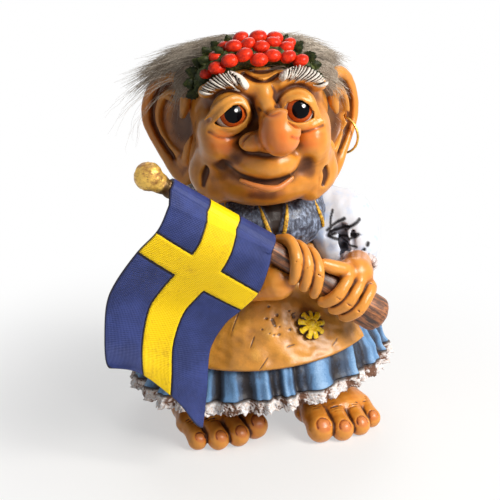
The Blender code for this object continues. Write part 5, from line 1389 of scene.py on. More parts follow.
def build_frill():
    """Ragged frill under the hem, thick and crumpled."""
    turns, levels = 1100, 22
    angle = np.linspace(0, math.tau, turns, endpoint=False)
    drop = np.linspace(0, 1, levels)
    a, d = np.meshgrid(angle, drop, indexing="ij")
    wave = np.sin(30 * a + 1.4 * np.sin(5 * a)) + 0.5 * np.sin(71 * a + 2 * np.sin(9 * a))
    spot = np.stack([HEM_RADIUS * np.cos(a), HEM_RADIUS * np.sin(a), d * 7], -1).reshape(-1, 3)
    crumple = ripple(spot, 4.2, 8).reshape(a.shape)
    fine = ripple(spot, 1.7, 9).reshape(a.shape)
    ragged = 0.8 * ripple(spot[::levels], 3.0, 10) + 0.6 * ripple(spot[::levels], 1.3, 12)
    outer = 1.5 * pleat_height(a, 0 * a) + 0.7 + 0.9 * d + (0.9 * wave + 0.9 * crumple + 0.6 * fine) * (0.25
                                                                                                        + 0.75
                                                                                                        * d)

    def ring(offset, below):
        return skirt_point(angle, 0 * angle, offset, below)

    rings = [ring(outer[:, 0] - 3.5, 0.4),
             *(ring(outer[:, k], 0.4 + (6.0 + ragged) * share) for k, share in enumerate(drop)),
             ring(outer[:, -1] - 2.6 + 0.5 * ragged, 5.4 + ragged * 0.7), ring(outer[:, -1] - 7.0, 4.4)]
    mesh = closed_rings("troll_frill", rings)
    hollow = 0.0 - (0.6 * wave + crumple + 0.8 * fine) / 2.2
    # the rings under the frill get deeper hollow: painted shade on its underside
    columns = [hollow[:, 0], *hollow.T, hollow[:, -1] + 0.4, hollow[:, -1] + 0.8]
    give(mesh, hollow=np.concatenate([*columns, [1, 1]]),
         drop=np.concatenate([np.repeat([0, *drop, 1, 1], turns), [0, 1]]))
    return mesh


def frill_paint():
    paint = Finish("troll_frill_paint", 0.6, Specular_IOR_Level=0.25)
    fine = paint.noise(0.9, 5.0, 0.7)
    paint.coat(fine.above(0.35, 0.65), bpy.context.scene.troll_dress.linen, under=(0.62, 0.50, 0.44))
    paint.coat((paint.value("hollow") * 0.9 + (fine - 0.5)).above(-0.05, 0.35), (0.16, 0.075, 0.045))
    # top of the frill, under the hem, painted near black as the hem's shadow
    paint.coat((1.0 - paint.value("drop").above(0.0, 0.25)) * 0.9, (0.03, 0.018, 0.015))
    return paint.done(Normal=paint.bump(fine, 0.35, 0.7))


APRON_SPAN = math.radians(47.0)
APRON_HALF, APRON_TALL, APRON_LIFT = 42, 45, 12.5
PITS = 16
CUTS = (
    # across, up, lean, length of the tool marks
    (-9, 3.4, 0.9, 3.2), (13.5, 14, 0.3, 1.8), (7, 21, 0.2, 1.6), (-14, 12, 1.2, 2.6), (3, 9, 0.1, 2.2),
    (24, 5.5, 0.5, 2.4), (-23, 20, 1.3, 5), (-27, 26, 1.2, 6), (-18, 31, 1.0, 5), (-11, 35, 0.8, 4),
)


def build_apron():
    """Thick apron with a rolled edge, dents and tool marks."""
    u, v = np.meshgrid(np.linspace(-1, 1, 220), np.linspace(0, 1, 150), indexing="ij")
    across, up = u * APRON_HALF, v * APRON_TALL
    low = APRON_LIFT / (WAIST_HEIGHT - HEM_HEIGHT) + 0.03 * u ** 2
    rise = low + (1.0 - low) * v
    spot = np.stack([across, up, 0 * u], -1).reshape(-1, 3)
    soft = ripple(spot, 15, 14).reshape(u.shape) * 0.55 + ripple(spot, 6, 15).reshape(u.shape) * 0.22
    random = np.random.RandomState(16)
    pits = np.zeros_like(u)
    cuts = np.zeros_like(u)
    for _ in range(PITS):
        x, z = random.normal(-2.5, 6.0), random.normal(19.0, 3.2)
        size = random.uniform(0.3, 0.85)
        pits += np.exp(-(((across - x) / (size * 1.6)) ** 2 + ((up - z) / size) ** 2))
    for x, z, lean, long in CUTS:
        du, dv = across - x, up - z
        run, off = du * math.cos(lean) + dv * math.sin(lean), dv * math.cos(lean) - du * math.sin(lean)
        cuts += np.exp(-(off / 0.28) ** 2) * np.exp(-(run / long) ** 4)
    pits, cuts = np.clip(pits, 0, 1), np.clip(cuts, 0, 1)
    side = np.minimum((1 - np.abs(u)) * APRON_HALF, up)
    roll = np.sqrt(np.clip(1 - (1 - np.clip(side / 1.5, 0, 1)) ** 2, 0, 1))
    out = (0.5 + 1.9 * roll + soft * step_up(side, 0, 3) - 0.55 * pits - 0.45 * cuts
           + 0.5 * np.exp(-((side - 1.6) / 1.2) ** 2))
    angle = u * APRON_SPAN
    mesh = plate_mesh("troll_apron", skirt_point(angle, rise, out + 0.35),
                      skirt_point(angle, rise, 0 * out - 1.0))
    mark = np.clip(pits + cuts, 0, 1).ravel()
    give(mesh, mark=np.concatenate([mark, mark * 0]), side=np.tile(side.ravel(), 2),
         height=np.tile(v.ravel(), 2),
         soft=np.tile(soft.ravel(), 2))
    return mesh


def apron_paint():
    tone = bpy.context.scene.troll_dress.apron
    paint = Finish("troll_apron_paint", 0.38, Coat_Weight=0.2, Coat_Roughness=0.25)
    soft = paint.value("soft")
    wear = paint.noise(0.11, 6.0, 0.62)
    fine = paint.noise(1.2, 5.0, 0.6)
    # brown: darker towards the top and in random patches, and painted shade in the dips of the surface
    brown = paint.value("height") * 0.55 + wear * 0.8 - soft * 0.5 + (fine - 0.5) * 0.4
    edge = 1.0 - paint.value("side").above(0.2, 1.4)
    paint.coat(wear.above(0.34, 0.66), tone, under=toned(tone, 0.66))
    # lighter paint on the bulges of the surface: painted highlight
    paint.coat((soft * 0.6 + fine * 0.6).above(0.35, 0.9) * 0.5, (0.80, 0.44, 0.09))
    paint.coat(brown.above(0.62, 1.15) * 0.7, (0.20, 0.070, 0.018))
    paint.coat(paint.value("mark").above(0.25, 0.6) * (0.5 + fine * 0.6), (0.030, 0.010, 0.006))
    paint.coat(edge * fine.above(0.3, 0.6) * 0.8, (0.10, 0.035, 0.012))
    return paint.done(Roughness=0.30 + fine * 0.22, Normal=paint.bump(fine + wear * 0.5, 0.25, 0.45))


# Bodice, its trim, sleeves, cuffs and the flower

BODICE_ROWS = (
    # height, half width, half depth
    (75.3, 9, 9), (86.3, 9, 9), (86.3, 24, 21.5), (88, 25.6, 23), (90, 26.5, 24), (94, 29, 26.5),
    (98, 29.2, 26.8),
    (102, 28.5, 26), (105.5, 26.6, 24), (108, 24, 21.5), (109.4, 20.5, 18.5), (110.4, 17, 16), (111, 11, 11),
    (114, 10.5, 10.5), (124, 10.5, 10.5),
)
BODICE_CENTRE = -3.0
EDGINGS = {
    "front_edging_right": ((-6.6, 109.0), (-5.0, 104.0), (-3.0, 98.0), (-1.6, 93.0)),
    "front_edging_left": ((6.6, 109.0), (5.2, 104.0), (3.8, 98.0), (2.6, 93.0)),
    "armhole_edging_right": ((-18.8, 108.5), (-20.8, 103.5), (-22.8, 98.0), (-24.0, 94.0)),
    "armhole_edging_left": ((18.8, 108.5), (20.8, 103.5), (22.8, 98.0), (24.0, 94.0)),
}
SLEEVES = {
    "left": (((29, -5, 98), (37, -9, 92), (40.5, -16, 83.5)), (10, 12.8, 9.8)),
    "right": (((-29, -5, 97.5), (-34.5, -16, 90), (-24, -31, 79.5)), (10, 11.8, 9)),
}
CUFFS = {
    "left": (Vector((39, -22.5, 77.5)), Vector((-0.28, -0.72, -0.64))),
    "right": (Vector((-17, -38, 76.5)), Vector((0.78, -0.60, 0.05))),
}
CUFF_RADIUS, BAND_RADIUS = 8.4, 7.4
CUFF_GATHERS, ELBOW_GATHERS = 13, 8


def bodice_size(height):
    """Half width and half depth of the bodice at a height."""
    rows = np.array(BODICE_ROWS[2:])
    return np.interp(height, rows[:, 0], rows[:, 1]), np.interp(height, rows[:, 0], rows[:, 2])


def on_bodice(x, height, over=0.0):
    """Point on the bodice's front, or a little over it."""
    half, deep = bodice_size(height)
    return (x, BODICE_CENTRE - deep * math.sqrt(max(0.02, 1 - (x / half) ** 2)) - over, height)


def build_bodice():
    """Knitted bodice with an opening painted dark as shade, and the neck over it."""
    turns, levels = 240, 120
    angle = np.linspace(0, math.tau, turns, endpoint=False)
    rows = np.array(BODICE_ROWS)
    lengths = np.concatenate([[0], np.cumsum(np.linalg.norm(np.diff(rows, axis=0), axis=1))])
    spots = np.unique(np.concatenate([np.linspace(0, lengths[-1], levels), lengths]))
    height, half, deep = (np.interp(spots, lengths, rows[:, k]) for k in range(3))
    a, z = np.meshgrid(angle, height, indexing="xy")
    points = np.stack([half[:, None] * np.sin(a), -deep[:, None] * np.cos(a), z], -1)
    flat = points.reshape(-1, 3)
    dents = ripple(flat, 11, 61) * 0.35 + ripple(flat, 5.5, 62) * 0.12
    # the opening in front, painted dark as shade, widens upwards and is sunk
    x, height = flat[:, 0], flat[:, 2]
    wide = np.interp(height, (92, 93, 101, 108, 110), (0.0, 0.6, 3.4, 5.6, 6.0))
    gap = (1 - step_up(np.abs(x), wide - 0.8, wide)) * (flat[:, 1] < 0) * step_up(height, 92,
                                                                                  93.5) * (height < 110.2)
    body = step_up(height, 86, 88) * (1 - step_up(height, 108.5, 110.5))
    scale = 1 + (dents * body - 1.5 * gap) / np.maximum(np.hypot(flat[:, 0], flat[:, 1]), 1)
    flat = flat.copy()
    flat[:, :2] *= scale[:, None]
    flat[:, 1] += BODICE_CENTRE
    mesh = closed_rings("troll_bodice", flat.reshape(len(spots), turns, 3))
    numbers = {"gap": gap, "neck": step_up(height, 110, 111), "crease": ripple(flat, 3.5, 62)}
    give(mesh, **{name: np.concatenate([value, [0, 0]]) for name, value in numbers.items()})
    return mesh


def bodice_paint():
    paint = Finish("troll_bodice_paint", 0.42, Specular_IOR_Level=0.25, Coat_Weight=0.2, Coat_Roughness=0.2)
    patches = paint.noise(0.22, 6.0, 0.7)
    strokes = paint.noise(0.7, 6.0, 0.7, stretch=(1.0, 1.0, 0.45))
    crease = (0.0 - paint.value("crease")) * 0.4 + strokes * 0.5
    paint.coat(strokes.above(0.40, 0.62), bpy.context.scene.troll_dress.bodice, under=(0.045, 0.050, 0.075))
    paint.coat((strokes * 0.6 + patches * 0.6).above(0.62, 0.78), (0.36, 0.44, 0.62))
    paint.coat(crease.above(0.30, 0.62) * 0.6, (0.022, 0.020, 0.028))
    # opening painted near black: painted shade where the blouse lies in shadow
    paint.coat(paint.value("gap"), (0.020, 0.011, 0.008))
    # neck painted dark brown: painted shade under the chin
    paint.coat(paint.value("neck"), (0.26, 0.10, 0.02))
    return paint.done(Roughness=0.34 + patches * 0.25, Normal=paint.bump(strokes, 0.4, 0.7))


TRIM_RADIUS, TRIM_FLATNESS, TRIM_OVER = 0.95, 0.7, 0.35


def build_trim(name, line, seed):
    """Painted strip on the bodice along a line of X and Z, a little uneven."""
    path = smooth_path([on_bodice(x, z, TRIM_OVER) for x, z in line], 14)
    ring = np.linspace(0, math.tau, 14, endpoint=False)
    way = np.gradient(path, axis=0)
    way /= np.linalg.norm(way, axis=1)[:, None]
    out = path - np.array((0, BODICE_CENTRE, 0))
    out[:, 2] = 0
    out /= np.linalg.norm(out, axis=1)[:, None]
    out -= way * np.sum(out * way, 1)[:, None]
    side = np.cross(way, out)
    size = TRIM_RADIUS * (1 + 0.16 * ripple(path, 2.2, seed))
    size[[0, -1]] *= 0.55
    rings = (path[:, None] + out[:, None] * (np.cos(ring) * TRIM_FLATNESS)[None, :, None]
             * size[:, None, None]
             + side[:, None] * np.sin(ring)[None, :, None] * size[:, None, None])
    return closed_rings(name, rings)


def trim_paint():
    paint = Finish("troll_trim_paint", 0.4, Specular_IOR_Level=0.25)
    wear = paint.noise(0.8, 5.0, 0.7)
    paint.coat(wear.above(0.34, 0.6), bpy.context.scene.troll_dress.edging, under=(0.20, 0.075, 0.012))
    return paint.done(Normal=paint.bump(wear, 0.2, 0.5))


def gather(clay, root, tip, width, blend, bend=Vector((0, 0, 0))):
    """Wedge-shaped crease: wide at its root."""
    clay.limb([root, (root + tip) / 2 + bend, tip], (width, width * 0.75, width * 0.22), blend, steps=5,
              take=True)


def build_sleeve(side):
    """Puffed sleeve, gathered at the cuff and in the bend of the arm."""
    points, radii = SLEEVES[side]
    way = EAR_SIDE[side]
    clay = Clay(np.min(points, 0) - 15, np.max(points, 0) + 15, 0.48)
    clay.limb(points, radii, 1.0, steps=5)
    if side == "left":
        clay.limb(((25, -8, 93), (27.5, -14, 87), (29, -17, 82)), (8.5, 8.0, 6.5), 3)
    place, axis = CUFFS[side]
    axis = axis.normalized()
    beside, over = axes_round(axis)
    random = np.random.RandomState(70 + way)
    for k in range(CUFF_GATHERS):
        turn = math.tau * (k + random.uniform(-0.25, 0.25)) / CUFF_GATHERS
        ring = beside * math.cos(turn) + over * math.sin(turn)
        root = place - axis * 1.5 + ring * CUFF_RADIUS
        tip = place - axis * random.uniform(9, 14) + ring * random.uniform(11.5, 12.6)
        gather(clay, root, tip, random.uniform(1.0, 1.5), 0.8, ring * 1.2)
    start = Vector(points[1]) + Vector((way * -8.0, -8.5, -2.0))
    for k in range(ELBOW_GATHERS):
        turn = math.radians(-60 + 34 * k + random.uniform(-8, 8))
        spread = Vector((way * math.cos(turn), -0.75, math.sin(turn))).normalized()
        gather(clay, start + spread * 1.5, start + spread * random.uniform(8, 15)
               + Vector((way * 2.0, 1.0, 0)),
               random.uniform(0.8, 1.2), 0.7)
    bend = Vector(points[-1]) - Vector((way * 8.0, 4.0, -1.5))
    clay.limb((bend + Vector((0, 0, 9)), bend, bend - Vector((0, 0, 6))), (1.2, 2.6, 1.8), 2.0, take=True)
    clay.roughen(8.5, 0.30, 71 + way)
    spots, faces = clay.skin()
    mesh = build_mesh(f"troll_sleeve_{side}", spots, faces)
    hollow = clay.hollows(spots, 1.3) + clay.hollows(spots, 0.5) * 0.7
    inner = 1 - step_up(np.linalg.norm(spots - np.array(bend + Vector((0, 0, 3))), axis=1), 4.0, 12.5)
    give(mesh, hollow=np.clip(hollow, *HOLLOW_RANGE), inner=inner,
         plant=planted(spots) if side == "left" else 0 * inner)
    return mesh


PLANT = (
    # lines on the left sleeve: X and Z in the figure's frame, and their half width
    (((25.5, 92.5), (29.5, 95.5), (33.0, 97.5)), 0.7), (((27.5, 91.0), (32.0, 92.6), (36.5, 95.0),
                                                         (39.5, 97.0)), 0.75),
    (((26.5, 90.0), (31.0, 88.6), (35.5, 89.2), (38.5, 91.0)), 0.7),
    (((27.0, 93.5), (27.4, 97.0), (28.6, 100.5)), 0.5),
    (((30.5, 89.6), (34.5, 86.4), (37.5, 85.6)), 0.5), (((42.4, 86.4), (42.6, 87.0)), 0.9),
    (((40.4, 84.2), (40.8, 84.6)), 0.8),
)


def planted(points):
    """How much of the dark plant covers each point of the left sleeve."""
    cover = np.zeros(len(points))
    for line, width in PLANT:
        path = smooth_path(line, 5)
        gap = np.min(np.linalg.norm(points[:, None, [0, 2]] - path[None], axis=2), axis=1)
        cover = np.maximum(cover, 1 - step_up(gap, width * 0.6, width * 1.5))
    return cover * (points[:, 1] < -10)


def sleeve_paint():
    paint = Finish("troll_sleeve_paint", 0.5, Specular_IOR_Level=0.25)
    patches = paint.noise(0.14, 5.0, 0.6)
    fine = paint.noise(1.0, 5.0, 0.7)
    bluish = toned(bpy.context.scene.troll_dress.linen, 0.52, 0.66, 0.90)
    shade = paint.value("hollow") * 0.7 + (fine - 0.5) * 0.2 + paint.value("inner") * 0.45
    paint.coat(patches.above(0.46, 0.74), bluish, under=(0.64, 0.67, 0.74))
    paint.coat(shade.above(0.08, 0.46) * 0.7, (0.24, 0.25, 0.32))
    paint.coat(shade.above(0.48, 0.85), (0.016, 0.013, 0.016))
    paint.coat(paint.value("plant"), (0.014, 0.012, 0.014))
    return paint.done(Roughness=0.45 + fine * 0.15, Normal=paint.bump(fine + patches, 0.25, 0.4))


def build_cuff(side):
    """Ruffled band round the wrist."""
    place, axis = CUFFS[side]
    axis = axis.normalized()
    beside, over = axes_round(axis)
    turns, sides = 220, 20
    points, hollow = [], []
    for k in range(turns):
        turn = math.tau * k / turns
        out = beside * math.cos(turn) + over * math.sin(turn)
        ruffle = math.sin(turn * 17 + math.sin(turn * 5))
        wave = 0.28 * ruffle + 0.16 * math.sin(turn * 31 + 1)
        for s in range(sides):
            a = math.tau * s / sides
            points.append(place + out * (BAND_RADIUS + (1.35 + 0.3 * wave) * math.cos(a))
                          + axis * ((1.75 + wave) * math.sin(a)))
            hollow.append(-0.3 * ruffle)
    mesh = face_outwards(build_mesh(f"troll_cuff_{side}", points, ring_faces(turns, sides)))
    give(mesh, hollow=hollow)
    return mesh


def cuff_paint():
    paint = Finish("troll_cuff_paint", 0.5, Specular_IOR_Level=0.25)
    fine = paint.noise(1.1, 5.0, 0.7)
    paint.coat(fine.above(0.35, 0.6), (0.72, 0.66, 0.68), under=(0.50, 0.40, 0.38))
    paint.coat((paint.value("hollow") + (fine - 0.5)).above(0.1, 0.5), (0.10, 0.045, 0.03))
    return paint.done(Normal=paint.bump(fine, 0.2, 0.6))


FLOWER = (math.radians(15.5), 0.50)     # angle and rise on the skirt
FLOWER_RADIUS, PETALS = 6.6, 9


def flower_place():
    """Frame of the flower: it lies on the apron, its Z points out."""
    angle, rise = FLOWER

    def spot(turn, up, over=0.0):
        return skirt_point(np.array(angle + turn), np.array(rise + up), over)

    out = np.cross(spot(0.05, 0) - spot(-0.05, 0), spot(0, 0.05) - spot(0, -0.05))
    turn = Vector(out).normalized().to_track_quat("Z", "Y").to_matrix().to_4x4()
    return Matrix.Translation(Vector(spot(0, 0, 4.6))) @ turn


def build_flower():
    """Carved flower: petals round a pitted middle."""
    rings, turns = 60, 240
    r, a = np.meshgrid(np.linspace(0, 1, rings), np.linspace(0, math.tau, turns, endpoint=False),
                       indexing="ij")
    random = np.random.RandomState(81)
    petals = np.zeros_like(a)
    for k in range(PETALS):
        middle = math.tau * (k + random.uniform(-0.12, 0.12)) / PETALS
        gap = np.abs((a - middle + math.pi) % math.tau - math.pi)
        petals = np.maximum(petals, np.clip(1 - (gap / 0.40) ** 2, 0, 1) ** 0.5 * random.uniform(0.82, 1.0))
    reach = FLOWER_RADIUS * (0.66 + 0.36 * petals)
    seam = np.exp(-((1 - petals) / 0.35) ** 2)
    notch = (1 - petals) * step_up(r, 0.35, 0.8)
    hub = 0.55 * np.exp(-(r / 0.30) ** 4) - 0.35 * np.exp(-((r - 0.36) / 0.07) ** 2)
    lift = (np.sqrt(np.clip(1 - r ** 6, 0, 1)) * 1.1 - 1.3 * notch * (1 - 0.3 * seam) + hub
            - 0.25 * np.exp(-((r - 0.9) / 0.06) ** 2))
    points = np.stack([reach * r * np.cos(a), reach * r * np.sin(a), lift], -1)
    points[..., 2] += ripple(points.reshape(-1, 3), 2.2, 82).reshape(r.shape) * 0.16 * (1 - r ** 4)
    edge = points[-1].copy()
    edge[:, 2] = -1.6
    all_rings = np.concatenate([[points[1] * (0.02, 0.02, 1)], points[1:], [edge]])
    mesh = closed_rings("troll_flower", all_rings, flower_place())
    deep = np.concatenate([notch, 0 * notch[-1:] + 1]).ravel()
    outer = np.concatenate([r, r[-1:]]).ravel() > 0.97
    give(mesh, hollow=np.concatenate([np.clip(deep * 1.2 + outer * 0.8, 0, 1.5), [0, 1]]))
    return mesh


def flower_paint():
    paint = Finish("troll_flower_paint", 0.35, Specular_IOR_Level=0.25, Coat_Weight=0.2)
    wear = paint.noise(0.6, 5.0, 0.7)
    yellow = toned(bpy.context.scene.troll_dress.flag_yellow, 0.95, 0.95, 1.0)
    paint.coat(wear.above(0.42, 0.66) * 0.7, (0.70, 0.33, 0.02), under=yellow)
    paint.coat((paint.value("hollow") + (wear - 0.5) * 0.7).above(0.16, 0.46), (0.045, 0.014, 0.006))
    return paint.done(Normal=paint.bump(wear, 0.3, 0.6))


# Wreath, berries and fur, by geometry nodes

def point_mesh(name, points, edges=(), **values):
    """Loose points, or lines, for a geometry tree to work on; points in metres."""
    mesh = bpy.data.meshes.new(name)
    mesh.from_pydata([tuple(map(float, p)) for p in points], [tuple(e) for e in edges], [])
    for key, numbers in values.items():
        numbers = np.asarray(numbers, np.float32)
        kind = "FLOAT_VECTOR" if numbers.ndim == 2 else "FLOAT"
        attribute = mesh.attributes.new(key, kind, "POINT")
        attribute.data.foreach_set("vector" if numbers.ndim == 2 else "value", numbers.ravel())
    return mesh


def geometry_tree(name, **sockets):
    """Empty geometry tree with these named inputs."""
    tree = bpy.data.node_groups.new(name, "GeometryNodeTree")
    tree.interface.new_socket("Geometry", in_out="INPUT", socket_type="NodeSocketGeometry")
    tree.interface.new_socket("Geometry", in_out="OUTPUT", socket_type="NodeSocketGeometry")
    for label, kind in (*sockets.items(), ("Seed", "Int"), ("Material", "Material")):
        tree.interface.new_socket(label, in_out="INPUT", socket_type=f"NodeSocket{kind}")
    nodes = Nodes(tree)
    start = tree.nodes.new("NodeGroupInput")
    return nodes, {socket.name: Wire(nodes, socket) for socket in start.outputs if socket.name}


def close_tree(nodes, inputs, geometry):
    """Realises the geometry, gives it its material and sends it out."""
    real = nodes.add("GeometryNodeRealizeInstances", inputs={"Geometry": geometry})
    done = nodes.add("GeometryNodeSetMaterial", inputs={"Geometry": real, "Material": inputs["Material"]})
    end = nodes.tree.nodes.new("NodeGroupOutput")
    nodes.tree.links.new(done.socket, end.inputs["Geometry"])
    return nodes.tree


def chance(nodes, seed):
    """Random vector between -1 and 1."""
    return nodes.add("FunctionNodeRandomValue", {"data_type": "FLOAT_VECTOR"},
                     {"Min": (-1.0, -1.0, -1.0), "Max": (1.0, 1.0, 1.0), "Seed": seed})


def grow(name, mesh, tree, values):
    """Runs a geometry tree once on a mesh, and returns the plain mesh that it makes."""
    item = put_in_scene(name, mesh)
    modifier = item.modifiers.new(name, "NODES")
    modifier.node_group = tree
    for socket in tree.interface.items_tree:
        if socket.in_out == "INPUT" and socket.name in values:
            modifier[socket.identifier] = values[socket.name]
    graph = bpy.context.evaluated_depsgraph_get()
    graph.update()
    made = bpy.data.meshes.new_from_object(item.evaluated_get(graph), depsgraph=graph)
    item.modifiers.remove(modifier)
    bpy.data.objects.remove(item, do_unlink=True)
    bpy.data.meshes.remove(mesh)
    made.name = name
    made.polygons.foreach_set("use_smooth", [True] * len(made.polygons))
    return made


def scatter_tree(name):
    """Copies one shape to every point, turned and sized by the point's own numbers."""
    nodes, inputs = geometry_tree(name, Shape="Object", Size="Float", Unevenness="Float")
    shape = nodes.add("GeometryNodeObjectInfo", inputs={"Object": inputs["Shape"]}, output="Geometry")
    turn = nodes.add("GeometryNodeInputNamedAttribute", {"data_type": "FLOAT_VECTOR"}, {"Name": "turn"})
    size = nodes.add("GeometryNodeInputNamedAttribute", {"data_type": "FLOAT"}, {"Name": "size"})
    uneven = nodes.scaled(chance(nodes, inputs["Seed"]), inputs["Unevenness"])
    spin = nodes.add("FunctionNodeEulerToRotation", inputs={0: nodes.vector("ADD", turn, uneven)})
    placed = nodes.add("GeometryNodeInstanceOnPoints", inputs={
        "Points": inputs["Geometry"], "Instance": shape, "Rotation": spin, "Scale": size * inputs["Size"]})
    return close_tree(nodes, inputs, placed)


def scatter(name, shape, rows, turns, sizes, seed, material):
    """Copies of one small shape at places in the head's frame, as one mesh."""
    helper = put_in_scene(f"{name}_shape", shape)
    points = point_mesh(name, in_metres(rows[:, :3], HEAD_PLACE), turn=turns, size=sizes)
    mesh = grow(name, points, scatter_tree(f"{name}_scatter"),
                {"Shape": helper, "Size": 1.0, "Unevenness": 0.16, "Seed": seed, "Material": material})
    bpy.data.objects.remove(helper, do_unlink=True)
    bpy.data.meshes.remove(shape)
    return mesh


BERRIES = (
    # X, Y, Z in the head's frame, radius
    (-23.6, -21.8, 21.6, 2.3), (-19.4, -25.2, 24.2, 3.0), (-14.2, -27.2, 27.4, 3.0), (-8.2, -27.0, 29.6, 3.0),
    (-2.2, -28.2, 27.6, 3.1), (3.4, -27.0, 29.0, 3.0), (9.8, -27.0, 28.4, 2.8), (15.2, -25.6, 26.6, 2.8),
    (-19.4, -20.6, 28.2, 2.7), (-12.0, -20.8, 32.4, 3.1), (-6.2, -21.0, 33.4, 2.7), (-0.8, -22.4, 32.2, 2.9),
    (4.4, -20.0, 33.6, 2.7), (9.8, -20.8, 31.6, 2.7), (-8.6, -14.0, 35.2, 2.9), (-1.4, -14.8, 35.6, 3.1),
    (5.8, -14.0, 35.0, 2.9), (-15.6, -16.0, 31.8, 2.5), (11.6, -14.8, 32.6, 2.5),
)
LEAF_SPOTS = (
    # X, Y, Z, turn about Y in degrees (which way the leaf points), size
    (-26.4, -18.6, 14.2, -120, 1.0), (-27.0, -18.2, 17.6, -95, 1.0), (-26.0, -18.4, 21.4, -75, 1.0),
    (-23.8, -17.8, 24.6, -60, 0.95), (-21.0, -16.4, 27.6, -50, 0.95), (-17.2, -15.0, 30.0, -40, 0.9),
    (-13.0, -13.2, 31.6, -25, 0.85), (-7.8, -12.0, 32.4, -15, 0.8), (-2.2, -11.6, 33.0, 0, 0.75),
    (3.6, -11.6, 32.4, 12, 0.8), (9.0, -13.0, 31.4, 25, 0.85), (13.4, -15.0, 29.4, 40, 0.9),
    (17.0, -17.6, 26.6, 60, 0.9), (19.4, -20.0, 23.4, 80, 0.9), (20.4, -21.6, 20.4, 105, 0.85),
    (-25.0, -21.0, 18.8, -150, 0.9), (-22.6, -22.6, 21.6, -165, 0.85), (17.4, -23.4, 23.8, 130, 0.7),
    (-22.2, -21.6, 26.6, -70, 0.8), (-16.4, -21.8, 29.4, -60, 0.8), (12.6, -21.2, 29.4, 50, 0.75),
    (-25.4, -16.0, 17.0, -100, 0.9), (-21.4, -20.6, 25.0, -40, 0.9), (17.8, -20.0, 26.0, 75, 0.8),
)


BERRY_NODES = [f"berry_{number:02d}" for number in range(1, 19)]


def berry_shape():
    """Berry with a dip where it hangs, 1 mm in radius."""
    bm = bmesh.new()
    bmesh.ops.create_uvsphere(bm, u_segments=16, v_segments=10, radius=MM)
    for vert in bm.verts:
        vert.co.x *= 1.14
        vert.co.z *= 0.84
        dip = math.hypot(vert.co.x, vert.co.y) / MM
        if vert.co.z < 0:
            vert.co.z += 0.22 * MM * math.exp(-(dip / 0.30) ** 2)
    mesh = bpy.data.meshes.new("berry")
    bm.to_mesh(mesh)
    bm.free()
    return mesh


def leaf_shape():
    """Leaf with notched sides, a rib and a bow; its stalk at the origin, pointing up Z."""
    stations, ribs = 11, 5
    points = []
    for r in range(stations):
        t = r / (stations - 1)
        half = 2.5 * math.sin(math.pi * min(1, t * 0.92 + 0.08)) ** 0.8 * (1.12 if r % 2 else 0.86)
        for c in range(ribs):
            s = c / (ribs - 1) * 2 - 1
            points.append((s * half, -0.5 * math.sin(math.pi * t) + 0.55 * abs(s) + (0.9 * t * t), t * 6.4))
    bm = bmesh.new()
    verts = [bm.verts.new(Vector(p) * MM) for p in points]
    for a, b, c, d in grid_faces(stations, ribs):
        bm.faces.new((verts[a], verts[b], verts[c], verts[d]))
    bmesh.ops.solidify(bm, geom=bm.faces[:], thickness=0.45 * MM)
    bmesh.ops.recalc_face_normals(bm, faces=bm.faces)
    mesh = bpy.data.meshes.new("leaf")
    bm.to_mesh(mesh)
    bm.free()
    return mesh


def head_turns(degrees, tip_back):
    """Turns in the scene for shapes whose Z is turned about the head's Y, then tipped back."""
    head = HEAD_PLACE.to_3x3()
    return np.array([(head @ Matrix.Rotation(math.radians(about), 3, "Y")
                      @ Matrix.Rotation(math.radians(tip), 3, "X")).to_euler()
                     for about, tip in zip(degrees, tip_back)])


def build_berries(material):
    rows = np.array(BERRIES)
    count = np.arange(len(rows))
    turns = head_turns(-8 + 14 * np.sin(count * 1.7), 12.0 + 0 * count)
    return scatter("troll_berries", berry_shape(), rows, turns, rows[:, 3] * 1.1, 3, material)


def build_leaves(material):
    rows = np.array(LEAF_SPOTS)
    turns = head_turns(rows[:, 3], 12.0 + 14 * np.sin(np.arange(len(rows)) * 2.3))
    return scatter("troll_leaves", leaf_shape(), rows, turns, rows[:, 4], 5, material)


def build_moss():
    """Bed under the berries."""
    clay = Clay((-34, -32, 8), (28, 2, 40), 0.5)
    clay.limb(((-26.6, -16.4, 15.0), (-23.5, -18.5, 20.5), (-16.0, -20.5, 25.5), (-2.0, -19.5, 28.4),
               (11.0, -20.0, 26.6),
               (19.0, -18.6, 22.6)), (3.2, 4.0, 4.8, 5.0, 4.6, 3.0), 1.0)
    clay.limb(((-20.5, -12.5, 25.5), (-12.0, -12.5, 29.5), (-2.0, -11.0, 31.0), (9.0, -12.5, 29.5),
               (16.0, -14.0, 26.0)),
              (3.0, 4.0, 4.2, 4.0, 2.8), 1.5)
    clay.roughen(2.4, 0.5, 91)
    points, faces = clay.skin()
    return build_mesh("troll_moss", points, faces, HEAD_PLACE)


def berry_paint():
    paint = Finish("troll_berry_paint", 0.22, Specular_IOR_Level=0.14, Coat_Weight=0.05, Coat_Roughness=0.1)
    wear = paint.noise(0.5, 4.0, 0.6)
    paint.coat(wear.above(0.36, 0.66), (0.50, 0.016, 0.006), under=(0.86, 0.040, 0.010))
    return paint.done(Roughness=0.2 + wear * 0.16)


def leaf_paint():
    paint = Finish("troll_leaf_paint", 0.42, Specular_IOR_Level=0.2)
    wear = paint.noise(0.45, 4.0, 0.6)
    paint.coat(wear.above(0.40, 0.64), (0.075, 0.090, 0.022), under=(0.022, 0.032, 0.010))
    paint.coat(paint.noise(1.2).above(0.60, 0.72) * 0.5, (0.20, 0.16, 0.05))
    return paint.done(Normal=paint.bump(wear, 0.2, 0.5))


STRAND_KINK, STRAND_TAPER = 170.0, 0.75


